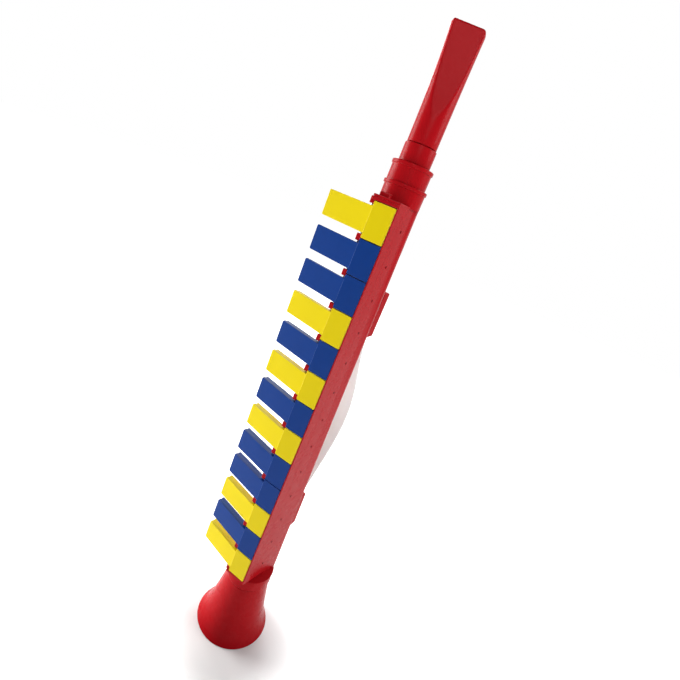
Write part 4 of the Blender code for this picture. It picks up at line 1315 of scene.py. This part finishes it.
class HORN_OT_strap(Operator):
    """Build the bowed hand strap and the two lugs that hold it"""

    bl_idname = "horn.strap"
    bl_label = "Hand Strap and Lugs"

    def execute(self, context):
        body = context.scene.horn_body
        strap = context.scene.horn_strap
        lower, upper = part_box("lower_lug"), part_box("upper_lug")
        foot, top = lower[1][2], upper[0][2]
        sunk = strap.lug_wall + PLAY + strap.thick / 2
        low_y = back_depth(body, foot) + strap.lower_rise - sunk
        high_y = back_depth(body, top) + strap.upper_rise - sunk
        line = [Vector((low_y, foot - strap.tail))]
        count = 72
        for i in range(count + 1):
            u = i / count
            bow = max(0.0, math.sin(math.pi * (1 - (1 - u) ** strap.skew)))
            y = low_y + (high_y - low_y) * u + strap.bow * bow**strap.shape
            line.append(Vector((y, foot + (top - foot) * u)))
        line.append(Vector((high_y, top + strap.tail)))
        outer, inner = [], []
        for i, point in enumerate(line):
            run = (line[min(i + 1, len(line) - 1)] - line[max(i - 1, 0)]).normalized()
            side = Vector((run.y, -run.x)) * strap.thick / 2
            outer.append(point + side)
            inner.append(point - side)
        left, right = body.shift - strap.width / 2, body.shift + strap.width / 2
        band = plate(outer + inner[::-1], left, right, "X", strap.edge, 4)
        ivory = ivory_plastic(context.scene)
        piece("bowed_strap", band, ivory, "horn", ["hand_strap"])

        # The lugs' red is darkened as painted shade.
        red = shaded_lug_red(context.scene)
        low_rises = (strap.lower_rise + strap.lower_tilt, strap.lower_rise)
        high_rises = (strap.upper_rise, strap.upper_rise)
        shape = self.lug(body, strap, lower, low_rises, low_y, 1)
        piece("rounded_lower_lug", shape, red, "horn", ["lower_lug"])
        shape = self.lug(body, strap, upper, high_rises, high_y, -1)
        piece("rounded_upper_lug", shape, red, "horn", ["upper_lug"])
        return {"FINISHED"}

    def lug(self, body, strap, box, rises, y, side):
        """A lug on the back with a slot at its top (side 1) or foot (side -1) for the strap."""
        foot, top = box[0][2], box[1][2]
        sunk, beyond = 0.0004, 0.0005
        foot_round, top_round, rounding = 0.0006, 0.0016, 0.0005
        outline = [
            (back_depth(body, foot) - sunk, foot, 0),
            (back_depth(body, foot) + rises[0], foot, foot_round),
            (back_depth(body, top) + rises[1], top, top_round),
            (back_depth(body, top) - sunk, top, 0),
        ]
        left, right = body.shift - strap.lug_half, body.shift + strap.lug_half
        solid = plate(outline, left, right, "X", rounding, 4, 6)
        end = foot + strap.tail + PLAY if side < 0 else top - strap.tail - PLAY
        mouth = foot - beyond if side < 0 else top + beyond
        half_x, half_y = strap.width / 2 + PLAY, strap.thick / 2 + PLAY
        low = (body.shift - half_x, y - half_y, min(end, mouth))
        slot = block(low, (body.shift + half_x, y + half_y, max(end, mouth)))
        return joined(solid, ("DIFFERENCE", slot))


class HORN_OT_stage(Operator):
    """Set the floor, the light and the camera"""

    bl_idname = "horn.stage"
    bl_label = "Stage"

    def execute(self, context):
        scene = context.scene
        stage = scene.horn_stage
        scene.view_settings.view_transform = "Standard"
        self.camera(scene, stage)
        self.floor(stage)
        self.world(scene, stage)
        middle, narrow = (0, 0, 0.15), math.radians(50)
        self.lamp("back", (-0.62, 0.80, 1.0), middle, stage.back_power, 0.8)
        self.lamp("low", (-0.62, -0.10, 0.16), (0, 0, 0.03), stage.low_power, 0.4, narrow)
        self.lamp("left", (-0.95, -0.05, 0.40), middle, stage.left_power, 0.6)
        self.lamp("right", (0.72, 0.32, 0.72), middle, stage.right_power, 0.6)
        self.lamp("top", (0.20, -0.45, 0.60), (0, 0, 0.38), stage.top_power, 0.3, narrow)
        return {"FINISHED"}

    def camera(self, scene, stage):
        data = bpy.data.cameras.new("camera")
        data.lens = stage.lens
        data.sensor_width = 36
        data.clip_start = 0.01
        camera = add_object("camera", data)
        right = Vector((0.82051, 0.44144, 0.36316)).normalized()
        behind = Vector((0.3449, -0.88896, 0.30132))
        behind = (behind - right * behind.dot(right)).normalized()
        up = behind.cross(right)
        turn = Matrix((right, up, behind)).transposed()
        camera.matrix_world = Matrix.Translation(AXIS + Vector(stage.camera)) @ turn.to_4x4()
        scene.camera = camera

    def floor(self, stage):
        """A pale floor whose glow before the horn is painted bounce light on it, which shows white
        further off and keeps the lamps' shadow, deepened by a painted shadow where the glow fades
        out before the bell.
        """
        size, drop = 4, 0.0002
        bm = bmesh.new()
        bmesh.ops.create_grid(bm, x_segments=1, y_segments=1, size=size)
        bmesh.ops.translate(bm, verts=bm.verts, vec=(0, 0, -drop))
        mesh = as_mesh("floor", bm)
        floor = add_object("floor", mesh)
        material, tree, shader = new_material("pale floor")
        shader.inputs["Base Color"].default_value = (*stage.floor, 1)
        shader.inputs["Roughness"].default_value = 0.9
        shader.inputs["Emission Color"].default_value = (1, 1, 1, 1)
        where = object_place(tree)
        # Painted shadow: the glow fades to nothing in a spot before the bell, which darkens the
        # floor there.
        painted_shadow_middle = (AXIS.x + 0.012, AXIS.y - 0.020, 0)
        ends = {0: where, 1: painted_shadow_middle}
        away = add_node(tree, "ShaderNodeVectorMath", ends, operation="DISTANCE").outputs["Value"]
        across = add_node(tree, "ShaderNodeSeparateXYZ", {"Vector": where}).outputs["Y"]
        front_half = (AXIS.y - 0.02, AXIS.y + 0.15)
        painted_shadow_span, pale_edge = (0.022, 0.062), (0.045, 0.20)
        before = ranged(tree, across, front_half, (stage.painted_bounce, 0.0))
        painted_bounce = ranged(tree, away, painted_shadow_span, (0.0, before), interpolation_type="SMOOTHSTEP")
        lift = ranged(tree, away, pale_edge, (0.0, 1.0))
        level = reckoned(tree, "MULTIPLY_ADD", self.shown(tree)[0], lift, painted_bounce)
        tree.links.new(level, shader.inputs["Emission Strength"])
        mesh.materials.append(material)

    def world(self, scene, stage):
        """White where it is seen, and a soft ring of light for the rest."""
        world = bpy.data.worlds.new("studio")
        scene.world = world
        world.use_nodes = True
        tree = world.node_tree
        background = tree.nodes["Background"]
        shown, glossy = self.shown(tree)
        where = add_node(tree, "ShaderNodeTexCoord").outputs["Generated"]
        parts = add_node(tree, "ShaderNodeSeparateXYZ", {"Vector": where}).outputs
        backdrop = ranged(tree, parts["Y"], (-0.1, 0.5), (stage.room, 1.0))
        ring = ranged(tree, parts["Z"], (0.0, 0.55), (stage.sky, stage.ceiling))
        mirrored = ranged(tree, glossy, (0.0, 1.0), (1.0, backdrop))
        level = ranged(tree, shown, (0.0, 1.0), (ring, mirrored))
        background.inputs["Color"].default_value = (1, 1, 1, 1)
        tree.links.new(level, background.inputs["Strength"])

    def shown(self, tree):
        """Rays that show the white backdrop, and those of them that are reflections."""
        rays = tree.nodes.new("ShaderNodeLightPath").outputs
        both = reckoned(tree, "MAXIMUM", rays["Is Camera Ray"], rays["Is Glossy Ray"])
        every = reckoned(tree, "MAXIMUM", both, rays["Is Transmission Ray"])
        return every, rays["Is Glossy Ray"]

    def lamp(self, name, place, aim, power, size, spread=math.pi):
        data = bpy.data.lights.new(name, "AREA")
        data.shape = "DISK"
        data.size = size
        data.energy = power
        data.spread = spread
        lamp = add_object(name, data)
        turn = (Vector(aim) - Vector(place)).to_track_quat("-Z", "Y")
        lamp.matrix_world = Matrix.Translation(place) @ turn.to_matrix().to_4x4()


STEPS = (
    HORN_OT_bell,
    HORN_OT_back,
    HORN_OT_key_box,
    HORN_OT_keys,
    HORN_OT_seals,
    HORN_OT_springs,
    HORN_OT_reeds,
    HORN_OT_socket,
    HORN_OT_mouthpiece,
    HORN_OT_strap,
    HORN_OT_stage,
)


class HORN_PT_panel(Panel):
    """The horn's pieces and their settings"""

    bl_idname = "HORN_PT_panel"
    bl_label = "Toy Piano Horn"
    bl_space_type = "VIEW_3D"
    bl_region_type = "UI"
    bl_category = "Horn"

    def draw(self, context):
        for step in STEPS:
            self.layout.operator(step.bl_idname)
        for name in SETTINGS:
            group = getattr(context.scene, name)
            column = self.layout.column(heading=name)
            for key in group.bl_rna.properties.keys():
                if key not in ("rna_type", "name"):
                    column.prop(group, key)


SETTINGS = {
    "horn_bell": HornBellSettings,
    "horn_body": HornBodySettings,
    "horn_keys": HornKeySettings,
    "horn_mouth": HornMouthSettings,
    "horn_strap": HornStrapSettings,
    "horn_stage": HornStageSettings,
}
CLASSES = (*SETTINGS.values(), *STEPS, HORN_PT_panel)


def register():
    for item in CLASSES:
        bpy.utils.register_class(item)
    for name, group in SETTINGS.items():
        setattr(bpy.types.Scene, name, PointerProperty(type=group))


def unregister():
    for name in SETTINGS:
        delattr(bpy.types.Scene, name)
    for item in reversed(CLASSES):
        bpy.utils.unregister_class(item)


def main():
    register()
    bpy.ops.horn.bell()
    bpy.ops.horn.back()
    bpy.ops.horn.key_box()
    bpy.ops.horn.keys()
    bpy.ops.horn.seals()
    bpy.ops.horn.springs()
    bpy.ops.horn.reeds()
    bpy.ops.horn.socket()
    bpy.ops.horn.mouthpiece()
    bpy.ops.horn.strap()
    bpy.ops.horn.stage()


if __name__ == "__main__":
    main()
